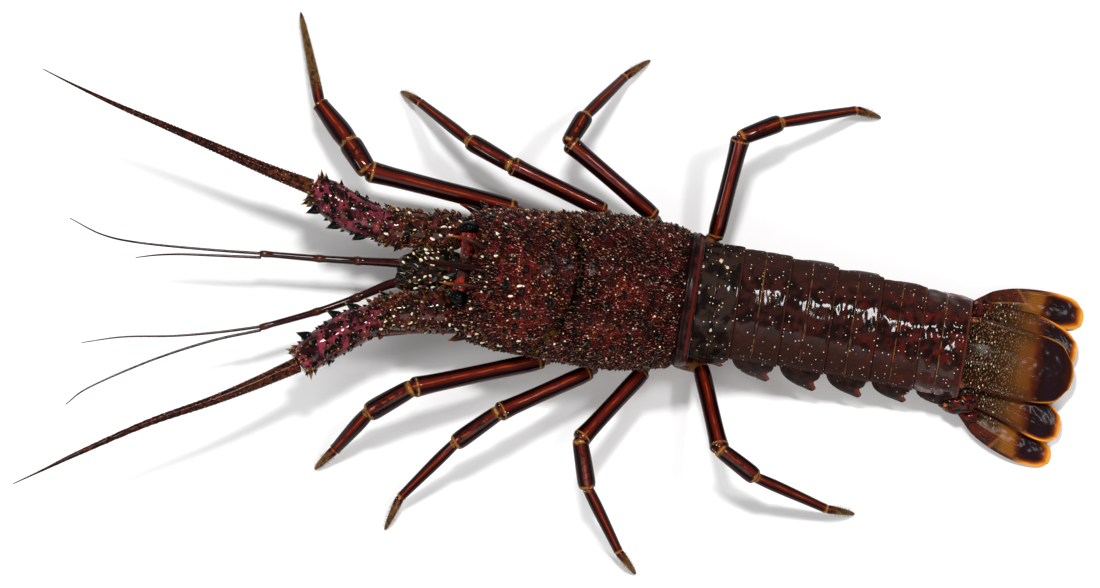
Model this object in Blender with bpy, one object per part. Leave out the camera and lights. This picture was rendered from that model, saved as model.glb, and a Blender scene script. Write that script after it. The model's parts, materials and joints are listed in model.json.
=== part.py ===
# Spiny lobster, life size, standing on ten toes and the rear of its tail fan.
# Lengths below are millimetres. The head points to -X, the animal's right side is +Y.
# The zero of X lies between the eyes, and the floor is at Z = 0.

import math
import random

import bmesh
import bpy
from mathutils import Vector

MM = 0.001
GAP = 0.3
UP = Vector((0.0, 0.0, 1.0))
FORWARD = Vector((-1.0, 0.0, 0.0))
ROUND_SIDES = 8
SIDES = {"right": 1.0, "left": -1.0}

# Carapace: X, then middle, half width, top, bottom and height of its widest line
CARAPACE_STATIONS = [
    (-1.0, -1.9, 22.4, 51.0, 22.0, 34.0),
    (5.0, -2.1, 25.6, 54.0, 20.8, 34.0),
    (12.0, -2.2, 27.6, 57.5, 20.0, 34.0),
    (24.0, -2.1, 28.8, 60.8, 20.0, 34.0),
    (40.0, -1.5, 30.0, 62.0, 20.0, 34.0),
    (60.0, -0.4, 31.0, 62.0, 20.0, 34.0),
    (75.0, 0.5, 30.0, 60.0, 20.0, 33.5),
    (88.0, 1.4, 27.8, 55.8, 19.6, 33.0),
    (94.7, 1.8, 26.2, 52.5, 19.0, 32.0),
]
CARAPACE_RINGS = [-1.0, 2.0, 5.0, 8.5, 12.0, 18.0, 24.0, 32.0, 40.0, 44.8, 47.1, 49.4,
                  56.0, 64.0, 72.0, 80.0, 86.4, 88.4, 90.2, 94.7]
CARAPACE_SIDES = 28
CARAPACE_SQUARE = 2.3
FRONT_LEAN = 6.0
FRONT_LEAN_END = 12.0
FRONT_LEAN_FOOT = 38.0
CERVICAL_GROOVE = (47.1, 1.7)
REAR_GROOVE = (88.4, 1.3)
GROOVE_HALF_WIDTH = 1.6

# Eyes: centre of the right cornea, its radius, and the stalk that joins it to the midline
CORNEA = (0.0, 14.3, 47.0)
CORNEA_RADIUS = 3.8
STALK_ROOT = (1.2, 0.2, 46.0)
STALK_RADII = (2.5, 3.1)
STALK_SHARE = 0.75
CORNEA_TURNS = (-30.0, 0.0, 30.0, 60.0, 82.0)
EYE_SIDES = 12

# Supraorbital horns: root, middle and tip on each side
HORNS = {
    "right": [(9.5, 6.2, 50.5), (0.5, 8.3, 54.2), (-7.9, 8.2, 56.6)],
    "left": [(9.5, -9.4, 50.5), (0.5, -10.2, 54.2), (-7.8, -10.8, 56.6)],
}
HORN_RADII = (3.3, 2.1, 0.25)

# Sternum: a keel plate between the hips, wider to the rear
STERNUM_START = 20.0
STERNUM_END = 92.0
STERNUM_FRONT_HALF = 8.5
STERNUM_SPREAD = 0.11
STERNUM_TOP = 18.6
STERNUM_EDGE = 14.0
STERNUM_BOTTOM = 13.2

# Abdomen: X, then middle, half width, top, bottom and height of its widest line
ABDOMEN_STATIONS = [
    (95.0, 2.8, 24.0, 51.0, 18.5, 30.0),
    (111.0, 3.8, 23.2, 48.4, 17.4, 28.0),
    (130.5, 4.0, 22.6, 44.6, 15.6, 25.0),
    (149.5, 3.7, 22.0, 40.6, 14.2, 22.4),
    (168.0, 3.4, 21.6, 36.8, 13.0, 20.0),
    (186.0, 3.0, 21.2, 33.0, 11.8, 17.8),
    (204.5, 2.4, 20.6, 29.0, 9.4, 15.0),
]
ABDOMEN_JOINTS = [95.0, 111.0, 130.5, 149.5, 168.0, 186.0, 204.5]
ABDOMEN_SIDES = 24
ABDOMEN_SQUARE = 2.5
# Along one segment: fraction of its length, and scale of its section
SEGMENT_PROFILE = [(0.0, 0.955), (0.09, 0.965), (0.4, 0.985), (0.46, 0.965), (0.52, 0.99),
                   (0.9, 1.005), (1.0, 0.985)]

# Side lobes of the segments: distance of the tip from the middle, and its height
PLEURON_TIPS = [(23.6, 14.2), (27.0, 12.4), (27.6, 11.2), (26.8, 10.0), (25.4, 8.9), (24.0, 8.2)]
# The tail is rolled a little, which tucks the right lobes in
PLEURON_TUCK = {"right": 2.0, "left": 0.0}
# Outline of one lobe: fraction of the segment's length, and fraction of the way to the tip
PLEURON_OUTLINE = [(0.1, 0.0), (0.17, 0.35), (0.33, 0.66), (0.58, 0.9), (0.82, 1.0),
                   (0.84, 0.72), (0.8, 0.5), (0.9, 0.36), (0.9, 0.0)]
PLEURON_ROOT_DEPTH = 0.95
PLEURON_ROOT_THICKNESS = 3.0
PLEURON_TIP_THICKNESS = 0.9

# Swimmerets: leaves under segments two to five, by fraction along the leaf and half width
SWIMMERET_SEGMENTS = (2, 3, 4, 5)
SWIMMERET_OUTLINE = [(0.0, 1.6), (0.3, 3.4), (0.7, 4.0), (1.0, 1.6)]
SWIMMERET_REACH = (9.5, 2.4, -4.6)
SWIMMERET_ROOT = (0.3, 12.0, 1.2)
SWIMMERET_THICKNESS = 0.9

# Tail fan: X, Y and half width of each blade from root to tip, then its heights and thickness
TELSON = [(204.8, 1.6, 14.2), (212.0, 1.4, 14.5), (222.0, 0.5, 14.3), (232.0, -0.2, 14.0),
          (240.5, -0.5, 12.8), (246.4, -0.7, 9.8), (249.6, -0.8, 5.4)]
ENDOPOD = {
    "right": [(204.8, 15.6, 2.2), (209.0, 15.5, 3.2), (213.5, 16.8, 4.8), (222.0, 15.4, 7.2),
              (233.0, 13.2, 8.6), (241.4, 11.0, 8.0), (246.6, 9.9, 6.7), (249.6, 9.6, 4.2)],
    "left": [(204.8, -15.5, 2.2), (209.0, -15.1, 3.2), (213.5, -15.2, 4.6), (222.0, -15.6, 6.8),
             (232.0, -17.9, 8.4), (239.4, -19.9, 8.3), (244.6, -20.9, 7.0), (247.6, -21.3, 4.4)],
}
EXOPOD = {
    "right": [(204.8, 20.4, 2.3), (209.0, 22.6, 3.6), (213.0, 24.0, 5.0), (222.0, 25.7, 6.0),
              (234.0, 26.0, 6.7), (242.6, 25.5, 6.6), (247.6, 24.9, 5.6), (250.2, 24.3, 3.4)],
    "left": [(204.8, -20.4, 2.3), (208.6, -22.4, 3.8), (212.0, -24.2, 5.2), (219.0, -27.2, 6.3),
             (229.0, -30.5, 6.7), (237.4, -32.0, 6.4), (242.8, -32.8, 5.2), (245.6, -33.0, 3.2)],
}
TELSON_HEIGHTS = [14.6, 13.9, 12.5, 10.8, 9.2, 8.0, 7.3]
ENDOPOD_HEIGHTS = [11.2, 10.4, 8.6, 7.4, 6.3, 5.4, 4.8, 4.4]
EXOPOD_HEIGHTS = [11.2, 8.0, 6.0, 4.7, 3.1, 1.7, 0.8, 0.3]
TELSON_THICKNESS = [4.6, 4.0, 2.6, 1.8, 1.4, 1.2, 1.0]
UROPOD_THICKNESS = [2.4, 2.2, 1.8, 1.6, 1.4, 1.2, 1.1, 1.0]
BLADE_COLUMNS = 9
BLADE_EDGE = 0.6
BLADE_CROWN = 0.04
RAY_HEIGHT = 0.25

# Antenna stalks: centreline and radius, with the last stations of the base and of the middle piece
ANTENNA_STALK = {
    "right": [(-1.3, 14.2, 32.0, 6.2), (-7.0, 14.0, 32.3, 7.5), (-15.0, 13.2, 32.6, 7.3),
              (-27.0, 11.8, 33.4, 7.4), (-35.0, 11.9, 34.0, 7.3), (-48.0, 15.2, 35.0, 7.7),
              (-58.0, 19.5, 35.8, 7.0), (-64.6, 22.2, 36.2, 5.6)],
    "left": [(-1.3, -16.6, 32.0, 7.4), (-7.0, -18.8, 32.3, 8.3), (-15.0, -19.8, 32.6, 8.0),
             (-25.0, -22.4, 33.4, 6.9), (-32.0, -26.2, 34.0, 7.1), (-43.0, -33.8, 35.0, 7.4),
             (-53.0, -43.0, 35.8, 6.7), (-58.6, -49.2, 36.2, 5.5)],
}
STALK_SPLITS = (2, 4)
STALK_SIDES = 12
STALK_DEPTH = 1.05
FLAGELLUM = {
    "right": [(-64.9, 22.4, 36.2), (-85.0, 26.5, 38.6), (-106.9, 31.8, 41.0), (-127.0, 36.6, 43.6),
              (-147.1, 41.4, 46.0), (-165.0, 46.2, 49.0), (-178.1, 50.2, 51.0)],
    "left": [(-58.9, -49.6, 36.2), (-75.0, -60.5, 38.8), (-91.5, -70.7, 41.0),
             (-114.3, -83.5, 44.0), (-139.5, -100.4, 48.0), (-152.0, -109.4, 49.8),
             (-163.2, -117.2, 51.0)],
}
FLAGELLUM_RADII = [3.2, 2.5, 1.9, 1.45, 1.0, 0.5, 0.22]

# Antennular plate between the antenna roots: X, Y, height, half width and half height
PLATE = [(-1.8, -0.4, 32.0, 5.6, 8.0), (-6.0, -0.9, 31.6, 6.4, 7.4), (-14.0, -2.5, 30.0, 7.2, 6.4),
         (-21.0, -4.1, 28.6, 7.8, 5.0), (-26.5, -4.9, 27.6, 8.0, 3.4)]
PLATE_SIDES = 16
PLATE_SQUARE = 3.0

# Antennules: stem, and the longer and shorter feeler that end it
ANTENNULE = {
    "right": {
        "stem": [(-26.9, -1.2, 27.2), (-42.0, -2.7, 26.3), (-57.3, -4.2, 26.2), (-81.2, -6.1, 27.0)],
        "outer": [(-81.6, -6.1, 27.4), (-102.7, -8.1, 28.6), (-130.1, -9.9, 30.2),
                  (-145.0, -9.2, 32.0), (-158.6, -5.0, 34.0)],
        "inner": [(-81.6, -7.6, 26.4), (-100.0, -9.8, 26.8), (-112.0, -11.4, 27.4),
                  (-121.7, -13.4, 28.4), (-130.1, -16.0, 29.6)],
    },
    "left": {
        "stem": [(-26.9, -9.6, 27.2), (-40.0, -17.6, 26.8), (-55.0, -25.8, 27.0),
                 (-76.5, -35.8, 27.0)],
        "outer": [(-76.9, -35.6, 27.4), (-92.0, -40.2, 27.8), (-110.0, -44.8, 28.6),
                  (-130.0, -48.6, 29.8), (-145.9, -53.7, 31.2)],
        "inner": [(-76.9, -37.0, 26.4), (-95.3, -44.4, 27.2), (-117.9, -56.4, 28.8),
                  (-140.2, -71.2, 31.0), (-148.2, -79.7, 33.0)],
    },
}
FEELER_SIDES = 6
ANTENNULE_STEM_RADII = [1.8, 1.5, 1.35, 1.2]
ANTENNULE_FEELER_RADII = [0.62, 0.55, 0.45, 0.35, 0.22]

# Third maxilliped on each side of the mouth
MAXILLIPED = [(19.7, 4.6, 16.0), (8.0, 5.2, 16.6), (-6.0, 5.4, 17.4), (-15.0, 4.8, 19.0),
              (-19.5, 3.9, 21.4)]
MAXILLIPED_RADII = [2.4, 2.6, 2.3, 1.8, 0.7]

# Legs: X of the hip, then the end of the hip pieces, start of the long piece, knee,
# end of the short piece behind it, end of the shin and the toe
LEGS = {
    "leg_right_1": (28.0, [(24.5, 18.4, 17.6), (17.2, 28.9, 23.0), (-43.9, 33.5, 30.0),
                           (-52.9, 44.2, 27.0), (-67.1, 59.1, 20.0), (-81.0, 98.2, 0.5)]),
    "leg_right_2": (42.0, [(41.5, 16.6, 13.4), (36.0, 19.5, 10.0), (-12.0, 20.5, 5.2),
                           (-18.0, 5.5, 4.4), (4.0, 2.5, 3.4), (15.0, 2.5, 0.5)]),
    "leg_right_3": (56.0, [(54.6, 20.6, 17.2), (52.7, 33.6, 23.5), (12.8, 44.6, 32.0),
                           (-5.3, 52.6, 26.0), (-27.7, 68.2, 7.6), (-36.0, 72.6, 0.5)]),
    "leg_right_4": (70.0, [(71.0, 22.2, 17.0), (72.9, 34.5, 23.5), (34.2, 57.0, 34.0),
                           (39.1, 69.8, 28.0), (52.5, 91.6, 8.0), (61.6, 101.2, 0.5)]),
    "leg_right_5": (84.0, [(90.0, 20.8, 14.8), (98.4, 30.1, 20.0), (102.2, 70.1, 33.0),
                           (117.0, 79.5, 28.0), (147.0, 93.0, 7.4), (157.2, 92.6, 0.5)]),
    "leg_left_1": (28.0, [(26.0, -14.4, 16.0), (18.0, -17.6, 15.6), (-36.0, -26.8, 20.0),
                          (-41.0, -27.4, 9.6), (-16.0, -21.8, 4.8), (19.0, -12.8, 0.5)]),
    "leg_left_2": (42.0, [(40.6, -18.8, 17.0), (37.4, -30.4, 22.5), (-12.5, -51.0, 32.0),
                          (-28.1, -62.5, 24.0), (-39.4, -77.2, 8.0), (-46.0, -85.1, 0.5)]),
    "leg_left_3": (56.0, [(56.0, -20.4, 17.0), (56.9, -32.0, 22.5), (23.3, -55.6, 33.0),
                          (8.2, -69.4, 26.0), (-10.4, -92.2, 8.0), (-14.4, -105.0, 0.5)]),
    "leg_left_4": (70.0, [(72.8, -19.6, 16.6), (78.2, -28.3, 21.6), (57.3, -61.4, 33.0),
                          (63.2, -78.9, 26.0), (79.8, -100.0, 7.4), (87.9, -106.8, 0.5)]),
    "leg_left_5": (84.0, [(90.2, -19.8, 12.6), (100.7, -21.4, 14.2), (113.2, -56.1, 32.0),
                          (129.1, -64.1, 26.0), (159.7, -69.6, 7.4), (171.2, -68.8, 0.5)]),
}
# Radii of the long piece, the short piece behind the knee, the shin and the toe, by leg pair
LEG_RADII = {
    "1": (3.9, 4.4, 4.3, 2.3),
    "2": (3.7, 3.9, 3.0, 2.0),
    "3": (3.5, 3.4, 2.4, 1.8),
    "4": (3.5, 3.4, 2.4, 1.8),
    "5": (3.5, 3.4, 2.4, 1.8),
}
HIP_RADIUS = 2.7
HIP_HEIGHT = 15.9
COXA_SHARE = 0.88
# Along each piece of a leg: fraction of its length, and share of its radius
MERUS_PROFILE = [(0.0, 0.86), (0.12, 1.0), (0.5, 0.98), (0.82, 1.04), (0.9, 1.12), (1.0, 1.0)]
CARPUS_PROFILE = [(0.0, 0.9), (0.35, 1.0), (0.82, 1.08), (1.0, 0.86)]
PROPODUS_PROFILE = [(0.1, 0.94), (0.4, 1.0), (0.75, 0.86), (0.97, 0.74)]
DACTYL_PROFILE = [(0.06, 1.0), (0.4, 0.8), (0.8, 0.56), (1.0, 0.4)]

# Room cut in the head round each eye, and the share of it left behind the stalk
ORBIT_ROOM = 0.5
ORBIT_ROOT_SHARE = 0.2
# Front corner spines of the carapace: root and tip on each side
CORNER_SPINES = {
    "right": [(4.5, 22.0, 34.5), (-5.0, 24.9, 36.0)],
    "left": [(6.0, -25.4, 34.5), (-1.0, -30.4, 36.0)],
}
CORNER_SPINE_WIDTH = 4.4

# Spines of the back: rows along X, their places round the shell in degrees from its middle line,
# and how far each may stray
SPINE_SIDES = 5
SPINE_TIP_RADIUS = 0.2
SPINE_SINK = 0.9
BACK_ROWS = (9.0, 85.0, 5.6)
BACK_ANGLES = ((7.0, 30.0, 51.0, 70.0, 88.0), (18.0, 41.0, 61.0, 80.0))
BACK_STRAY = (1.0, 3.0)
BACK_SPINE_LENGTHS = (1.9, 3.3)
BACK_SPINE_WIDTH = 1.9
SPINE_FORWARD = 0.75
ORBIT_CLEARANCE = 8.0
HORN_CLEARANCE = 5.0
SPINE_SPACING = 3.4
# Large spines behind the horns: X and degrees from the middle line, then their length and width
LARGE_SPINES = [(8.5, 48.8), (24.7, 17.6), (24.5, 30.5), (25.6, 1.3), (25.2, -13.0), (18.5, -10.1),
                (24.8, -31.3), (12.2, -38.2), (37.1, 2.3), (36.0, 23.0), (37.0, -19.3),
                (15.5, 33.5)]
LARGE_SPINE = (3.6, 3.0)
SLOPE_REACH = 0.5
SLOPE_TURN = 0.03

# Spines of the antenna stalks: fraction along the piece, degrees up from its outer side, length
STALK_SPINES = {
    "base": [(0.62, 35.0, 2.0), (0.45, 80.0, 2.4), (0.75, 100.0, 2.8)],
    "mid": [(0.3, 20.0, 2.0), (0.72, 45.0, 2.6), (0.4, 85.0, 3.0), (0.85, 110.0, 3.6),
            (0.6, 170.0, 3.8)],
    "end": [(0.1, 15.0, 2.2), (0.2, 65.0, 3.4), (0.42, 20.0, 2.2), (0.36, 115.0, 3.8),
            (0.58, 60.0, 4.0), (0.7, 10.0, 2.6), (0.72, 110.0, 4.2), (0.86, 45.0, 3.6)],
}
INNER_SPINES = {"right": (0.18, 0.49, 0.8), "left": (0.14, 0.35, 0.74)}
INNER_SPINE = (170.0, 4.8, 4.0)
STALK_SPINE_WIDTH = 0.62
CROWN_SPINES = 7
CROWN_SPINE = (0.955, 3.4, 2.0)
PLATE_SPINES = [(-6.5, 3.0), (-6.5, -3.0)]
PLATE_SPINE = (3.6, 2.2)
PLATE_SPINE_SEAT = 0.95


def on_curve(rows, x):
    """Columns at x, on a smooth curve through the rows."""
    last = len(rows) - 2
    i = 0
    while i < last and rows[i + 1][0] < x:
        i += 1
    before, start = rows[max(i - 1, 0)], rows[i]
    end, after = rows[i + 1], rows[min(i + 2, last + 1)]
    span = end[0] - start[0]
    t = min(max((x - start[0]) / span, 0.0), 1.0)
    values = []
    for a, b, c, d in zip(before[1:], start[1:], end[1:], after[1:]):
        rate_in = (c - a) / (end[0] - before[0]) * span
        rate_out = (d - b) / (after[0] - start[0]) * span
        values.append(b + t * (rate_in + t * (3 * (c - b) - 2 * rate_in - rate_out
                                              + t * (rate_in + rate_out - 2 * (c - b)))))
    return values


def section_point(half, top, bottom, wide, square, angle):
    """Y and Z at an angle round a closed section, from the middle of the back to the right."""
    across = math.copysign(abs(math.sin(angle)) ** (2 / square), math.sin(angle))
    rise = math.copysign(abs(math.cos(angle)) ** (2 / square), math.cos(angle))
    reach = top - wide if rise > 0 else wide - bottom
    return half * across, wide + reach * rise


def body_ring(half, top, bottom, wide, sides, square):
    """Points of one closed section of the body."""
    return [section_point(half, top, bottom, wide, square, 2 * math.pi * i / sides)
            for i in range(sides)]


def new_material(name, colour, roughness):
    """Plain shell finish."""
    material = bpy.data.materials.new(name)
    material.use_nodes = True
    shader = material.node_tree.nodes["Principled BSDF"]
    shader.inputs["Base Color"].default_value = (*colour, 1.0)
    shader.inputs["Roughness"].default_value = roughness
    shader.inputs["Metallic"].default_value = 0.0
    return material


MATERIALS = {
    "shell": new_material("shell", (0.09, 0.02, 0.015), 0.35),
    "tail_shell": new_material("tail_shell", (0.07, 0.018, 0.014), 0.25),
    "antenna": new_material("antenna", (0.2, 0.035, 0.045), 0.35),
    "feeler": new_material("feeler", (0.06, 0.012, 0.01), 0.4),
    "leg": new_material("leg", (0.1, 0.012, 0.008), 0.2),
    "fan": new_material("fan", (0.25, 0.08, 0.015), 0.3),
    "underside": new_material("underside", (0.35, 0.16, 0.07), 0.45),
    "eye": new_material("eye", (0.01, 0.014, 0.01), 0.08),
}
LOBSTER = bpy.data.collections.new("spiny_lobster")


def new_object(name, points, faces, material, collection):
    """Closed mesh object from points in millimetres."""
    mesh = bpy.data.meshes.new(name)
    mesh.from_pydata([Vector(p) * MM for p in points], [], faces)
    shape = bmesh.new()
    shape.from_mesh(mesh)
    bmesh.ops.recalc_face_normals(shape, faces=shape.faces)
    shape.to_mesh(mesh)
    shape.free()
    mesh.materials.append(MATERIALS[material])
    mesh.shade_smooth()
    item = bpy.data.objects.new(name, mesh)
    collection.objects.link(item)
    return item


def cap_faces(start, sides):
    """Rows of faces that close a ring which is alike on both sides of the body."""
    half = sides // 2
    faces = [(start, start + 1, start + sides - 1)]
    for i in range(1, half - 1):
        faces.append((start + i, start + i + 1, start + sides - i - 1, start + sides - i))
    faces.append((start + half - 1, start + half, start + half + 1))
    return faces


def loft(name, rings, material, collection, mirrored_caps=False):
    """Closed skin over rings that have the same number of points."""
    sides = len(rings[0])
    points = [p for ring in rings for p in ring]
    faces = []
    for i in range(len(rings) - 1):
        for j in range(sides):
            k = (j + 1) % sides
            faces.append((i * sides + j, i * sides + k, (i + 1) * sides + k, (i + 1) * sides + j))
    last = (len(rings) - 1) * sides
    if mirrored_caps:
        faces += cap_faces(0, sides) + cap_faces(last, sides)
    else:
        faces.append(tuple(range(sides)))
        faces.append(tuple(range(last, last + sides)))
    return new_object(name, points, faces, material, collection)


def prism(name, upper, lower, material, collection):
    """Closed plate between two outlines that have the same number of points."""
    count = len(upper)
    faces = [tuple(range(count)), tuple(range(count, 2 * count))]
    for i in range(count):
        k = (i + 1) % count
        faces.append((i, k, count + k, count + i))
    return new_object(name, list(upper) + list(lower), faces, material, collection)


def tube_rings(points, radii, sides, start=None, end=None, flatness=1.0, planes=None):
    """Rings round a limb or feeler, mitred at each bend or on given planes, never below the floor."""
    points = [Vector(p) for p in points]
    last = len(points) - 1
    rings = []
    side_before, along_before = None, None
    for i, (point, radius) in enumerate(zip(points, radii)):
        ahead = (points[min(i + 1, last)] - points[min(i, last - 1)]).normalized()
        behind = (points[max(i, 1)] - points[max(i - 1, 0)]).normalized()
        plane = planes[i] if planes else (ahead + behind).normalized()
        if i == 0 and start is not None:
            plane = start
        if i == last and end is not None:
            plane = end
        along = behind if i > 0 else ahead
        side = along.cross(UP).normalized()
        # A limb that turns back under itself keeps its sides, so its skin isn't twisted
        if side_before is not None:
            carried = along_before.rotation_difference(along) @ side_before
            if carried.dot(side) < 0:
                side = -side
        side_before, along_before = side, along
        rise = side.cross(along)
        ring = []
        for j in range(sides):
            angle = 2 * math.pi * (j + 0.5) / sides
            offset = side * math.cos(angle) * radius + rise * math.sin(angle) * radius * flatness
            offset -= along * (offset.dot(plane) / along.dot(plane))
            spot = point + offset
            ring.append((spot.x, spot.y, max(spot.z, 0.0)))
        rings.append(ring)
    return rings


def smooth_path(points, steps):
    """More points on a smooth curve through the given ones, evenly counted between them."""
    rows = [(float(i), *p) for i, p in enumerate(points)]
    count = (len(points) - 1) * steps
    return [tuple(on_curve(rows, i / steps)) for i in range(count + 1)]


def along_piece(start, end, profile, radius):
    """Points and radii of one straight piece of a leg."""
    start, end = Vector(start), Vector(end)
    return [(start.lerp(end, t), share * radius) for t, share in profile]


def piece_planes(start, end, start_plane, end_plane, profile):
    """Planes of a leg piece's rings, turned evenly from the mitre at its start to that at its end."""
    axis = (Vector(end) - Vector(start)).normalized()
    first, final = start_plane / axis.dot(start_plane), end_plane / axis.dot(end_plane)
    return [first.lerp(final, t) for t, _ in profile]


def largest_surface(mesh):
    """Keep only the biggest closed surface of a mesh."""
    shape = bmesh.new()
    shape.from_mesh(mesh)
    left = set(shape.faces)
    surfaces = []
    while left:
        seed = left.pop()
        surface, edge = [seed], [seed]
        while edge:
            face = edge.pop()
            for side in face.edges:
                for other in side.link_faces:
                    if other in left:
                        left.remove(other)
                        surface.append(other)
                        edge.append(other)
        surfaces.append(surface)
    surfaces.sort(key=lambda faces: sum(face.calc_area() for face in faces))
    for surface in surfaces[:-1]:
        bmesh.ops.delete(shape, geom=surface, context="FACES")
    shape.to_mesh(mesh)
    shape.free()


def combine(node, pieces, operation):
    """Join the pieces to the node, or cut them from it, in one Boolean that is then applied."""
    group = pieces[0].users_collection[0]
    boolean = node.modifiers.new("combine", "BOOLEAN")
    boolean.operation = operation
    boolean.operand_type = "COLLECTION"
    boolean.collection = group
    boolean.solver = "EXACT"
    graph = bpy.context.evaluated_depsgraph_get()
    mesh = bpy.data.meshes.new_from_object(node.evaluated_get(graph))
    node.modifiers.clear()
    node.data = mesh
    largest_surface(mesh)
    for piece in pieces:
        bpy.data.objects.remove(piece)
    bpy.data.collections.remove(group)


def new_group(name):
    """Collection for the pieces of one Boolean, shown to the scene until it is applied."""
    group = bpy.data.collections.new(name)
    bpy.context.scene.collection.children.link(group)
    return group


def make_spine(points, radii, sides, material, group):
    """Tapered spine along its points, its root ring already inside the surface."""
    start = (Vector(points[1]) - Vector(points[0])).normalized()
    return loft("spine", tube_rings(points, radii, sides, start=start), material, group)


def eye_rings(side, room):
    """Rings of an eye and its stalk, made larger all round by the given room."""
    sign = SIDES[side]
    centre = Vector((CORNEA[0], CORNEA[1] * sign, CORNEA[2]))
    root = Vector((STALK_ROOT[0], STALK_ROOT[1] * sign, STALK_ROOT[2]))
    outward = (centre - root).normalized()
    start = Vector((0.0, sign, 0.0))
    root -= outward * room * ORBIT_ROOT_SHARE
    points = [root, centre - outward * CORNEA_RADIUS * STALK_SHARE]
    radii = [radius + room for radius in STALK_RADII]
    for turn in CORNEA_TURNS:
        reach = CORNEA_RADIUS + room
        points.append(centre + outward * reach * math.sin(math.radians(turn)))
        radii.append(reach * math.cos(math.radians(turn)))
    return tube_rings(points, radii, EYE_SIDES, start=start)


def carapace_spot(x, angle):
    """Point of the back shell at x and an angle round it."""
    middle, half, top, bottom, wide = on_curve(CARAPACE_STATIONS, x)
    for line, depth in (CERVICAL_GROOVE, REAR_GROOVE):
        if abs(x - line) < GROOVE_HALF_WIDTH:
            top -= depth
            half -= depth / 2
    y, z = section_point(half, top, bottom, wide, CARAPACE_SQUARE, angle)
    fade = max(0.0, 1.0 - (x - CARAPACE_RINGS[0]) / FRONT_LEAN_END)
    lean = FRONT_LEAN * fade * max(0.0, z - FRONT_LEAN_FOOT) / (top - FRONT_LEAN_FOOT)
    return Vector((x + lean, middle + y, z))


def surface_spine(spot, outward, forward, length, width, material, group):
    """Spine set on a surface, leaning forward, with its root sunk in."""
    direction = (outward + forward * SPINE_FORWARD).normalized()
    points = [spot - direction * SPINE_SINK, spot + direction * length]
    return make_spine(points, (width / 2, SPINE_TIP_RADIUS), SPINE_SIDES, material, group)


def back_spines(group):
    """Rows of forward spines over the back, with the larger ones behind the horns."""
    random.seed(11)
    places = [(x, angle, *LARGE_SPINE) for x, angle in LARGE_SPINES]
    first, last, pitch = BACK_ROWS
    for row in range(int((last - first) / pitch) + 1):
        for angle in BACK_ANGLES[row % 2]:
            for sign in (1, -1):
                x = first + row * pitch + random.uniform(-1, 1) * BACK_STRAY[0]
                turn = sign * angle + random.uniform(-1, 1) * BACK_STRAY[1]
                length = random.uniform(*BACK_SPINE_LENGTHS)
                places.append((x, turn, length, BACK_SPINE_WIDTH))
    avoid = [(Vector((CORNEA[0], CORNEA[1] * sign, CORNEA[2])), ORBIT_CLEARANCE)
             for sign in SIDES.values()]
    avoid += [(Vector(HORNS[side][0]), HORN_CLEARANCE) for side in SIDES]
    spines, taken = [], []
    for x, turn, length, width in places:
        angle = math.radians(turn)
        spot = carapace_spot(x, angle)
        if any((spot - centre).length < room for centre, room in avoid):
            continue
        if any((spot - other).length < SPINE_SPACING for other in taken):
            continue
        taken.append(spot)
        ahead = carapace_spot(x + SLOPE_REACH, angle) - carapace_spot(x - SLOPE_REACH, angle)
        around = carapace_spot(x, angle + SLOPE_TURN) - carapace_spot(x, angle - SLOPE_TURN)
        outward = ahead.cross(around).normalized()
        spines.append(surface_spine(spot, outward, FORWARD, length, width, "shell", group))
    return spines


def make_carapace():
    """Back shell of head and chest, with its orbits cut and its horns and spines joined."""
    steps = [2 * math.pi * i / CARAPACE_SIDES for i in range(CARAPACE_SIDES)]
    rings = [[carapace_spot(x, angle) for angle in steps] for x in CARAPACE_RINGS]
    carapace = loft("carapace", rings, "shell", LOBSTER, mirrored_caps=True)

    orbits = new_group("orbits")
    rooms = [loft("orbit", eye_rings(side, ORBIT_ROOM), "shell", orbits) for side in SIDES]
    combine(carapace, rooms, "DIFFERENCE")

    horns = new_group("horns")
    spines = [make_spine(HORNS[side], HORN_RADII, ROUND_SIDES, "shell", horns) for side in SIDES]
    spines += [make_spine(CORNER_SPINES[side], (CORNER_SPINE_WIDTH / 2, SPINE_TIP_RADIUS),
                          SPINE_SIDES, "shell", horns) for side in SIDES]
    spines += back_spines(horns)
    combine(carapace, spines, "UNION")


def make_eye(side):
    """Glossy cornea on a short stalk that runs in to the midline."""
    loft("eye_" + side, eye_rings(side, 0.0), "eye", LOBSTER)


def sternum_half(x):
    """Half width of the keel plate at x."""
    return STERNUM_FRONT_HALF + STERNUM_SPREAD * (x - STERNUM_START)


def make_sternum():
    """Keel plate under the chest that carries the legs."""
    rings = []
    for x in (STERNUM_START, STERNUM_END):
        half = sternum_half(x)
        rings.append([(x, half, STERNUM_TOP), (x, half, STERNUM_EDGE),
                      (x, half / 2, STERNUM_BOTTOM), (x, -half / 2, STERNUM_BOTTOM),
                      (x, -half, STERNUM_EDGE), (x, -half, STERNUM_TOP)])
    loft("sternum", rings, "underside", LOBSTER)


def segment_ring(x, scale):
    """Section of the abdomen at x, drawn in by the given scale."""
    middle, half, top, bottom, wide = on_curve(ABDOMEN_STATIONS, x)
    return [(x, middle + y * scale, wide + (z - wide) * scale)
            for y, z in body_ring(half, top, bottom, wide, ABDOMEN_SIDES, ABDOMEN_SQUARE)]


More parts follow.
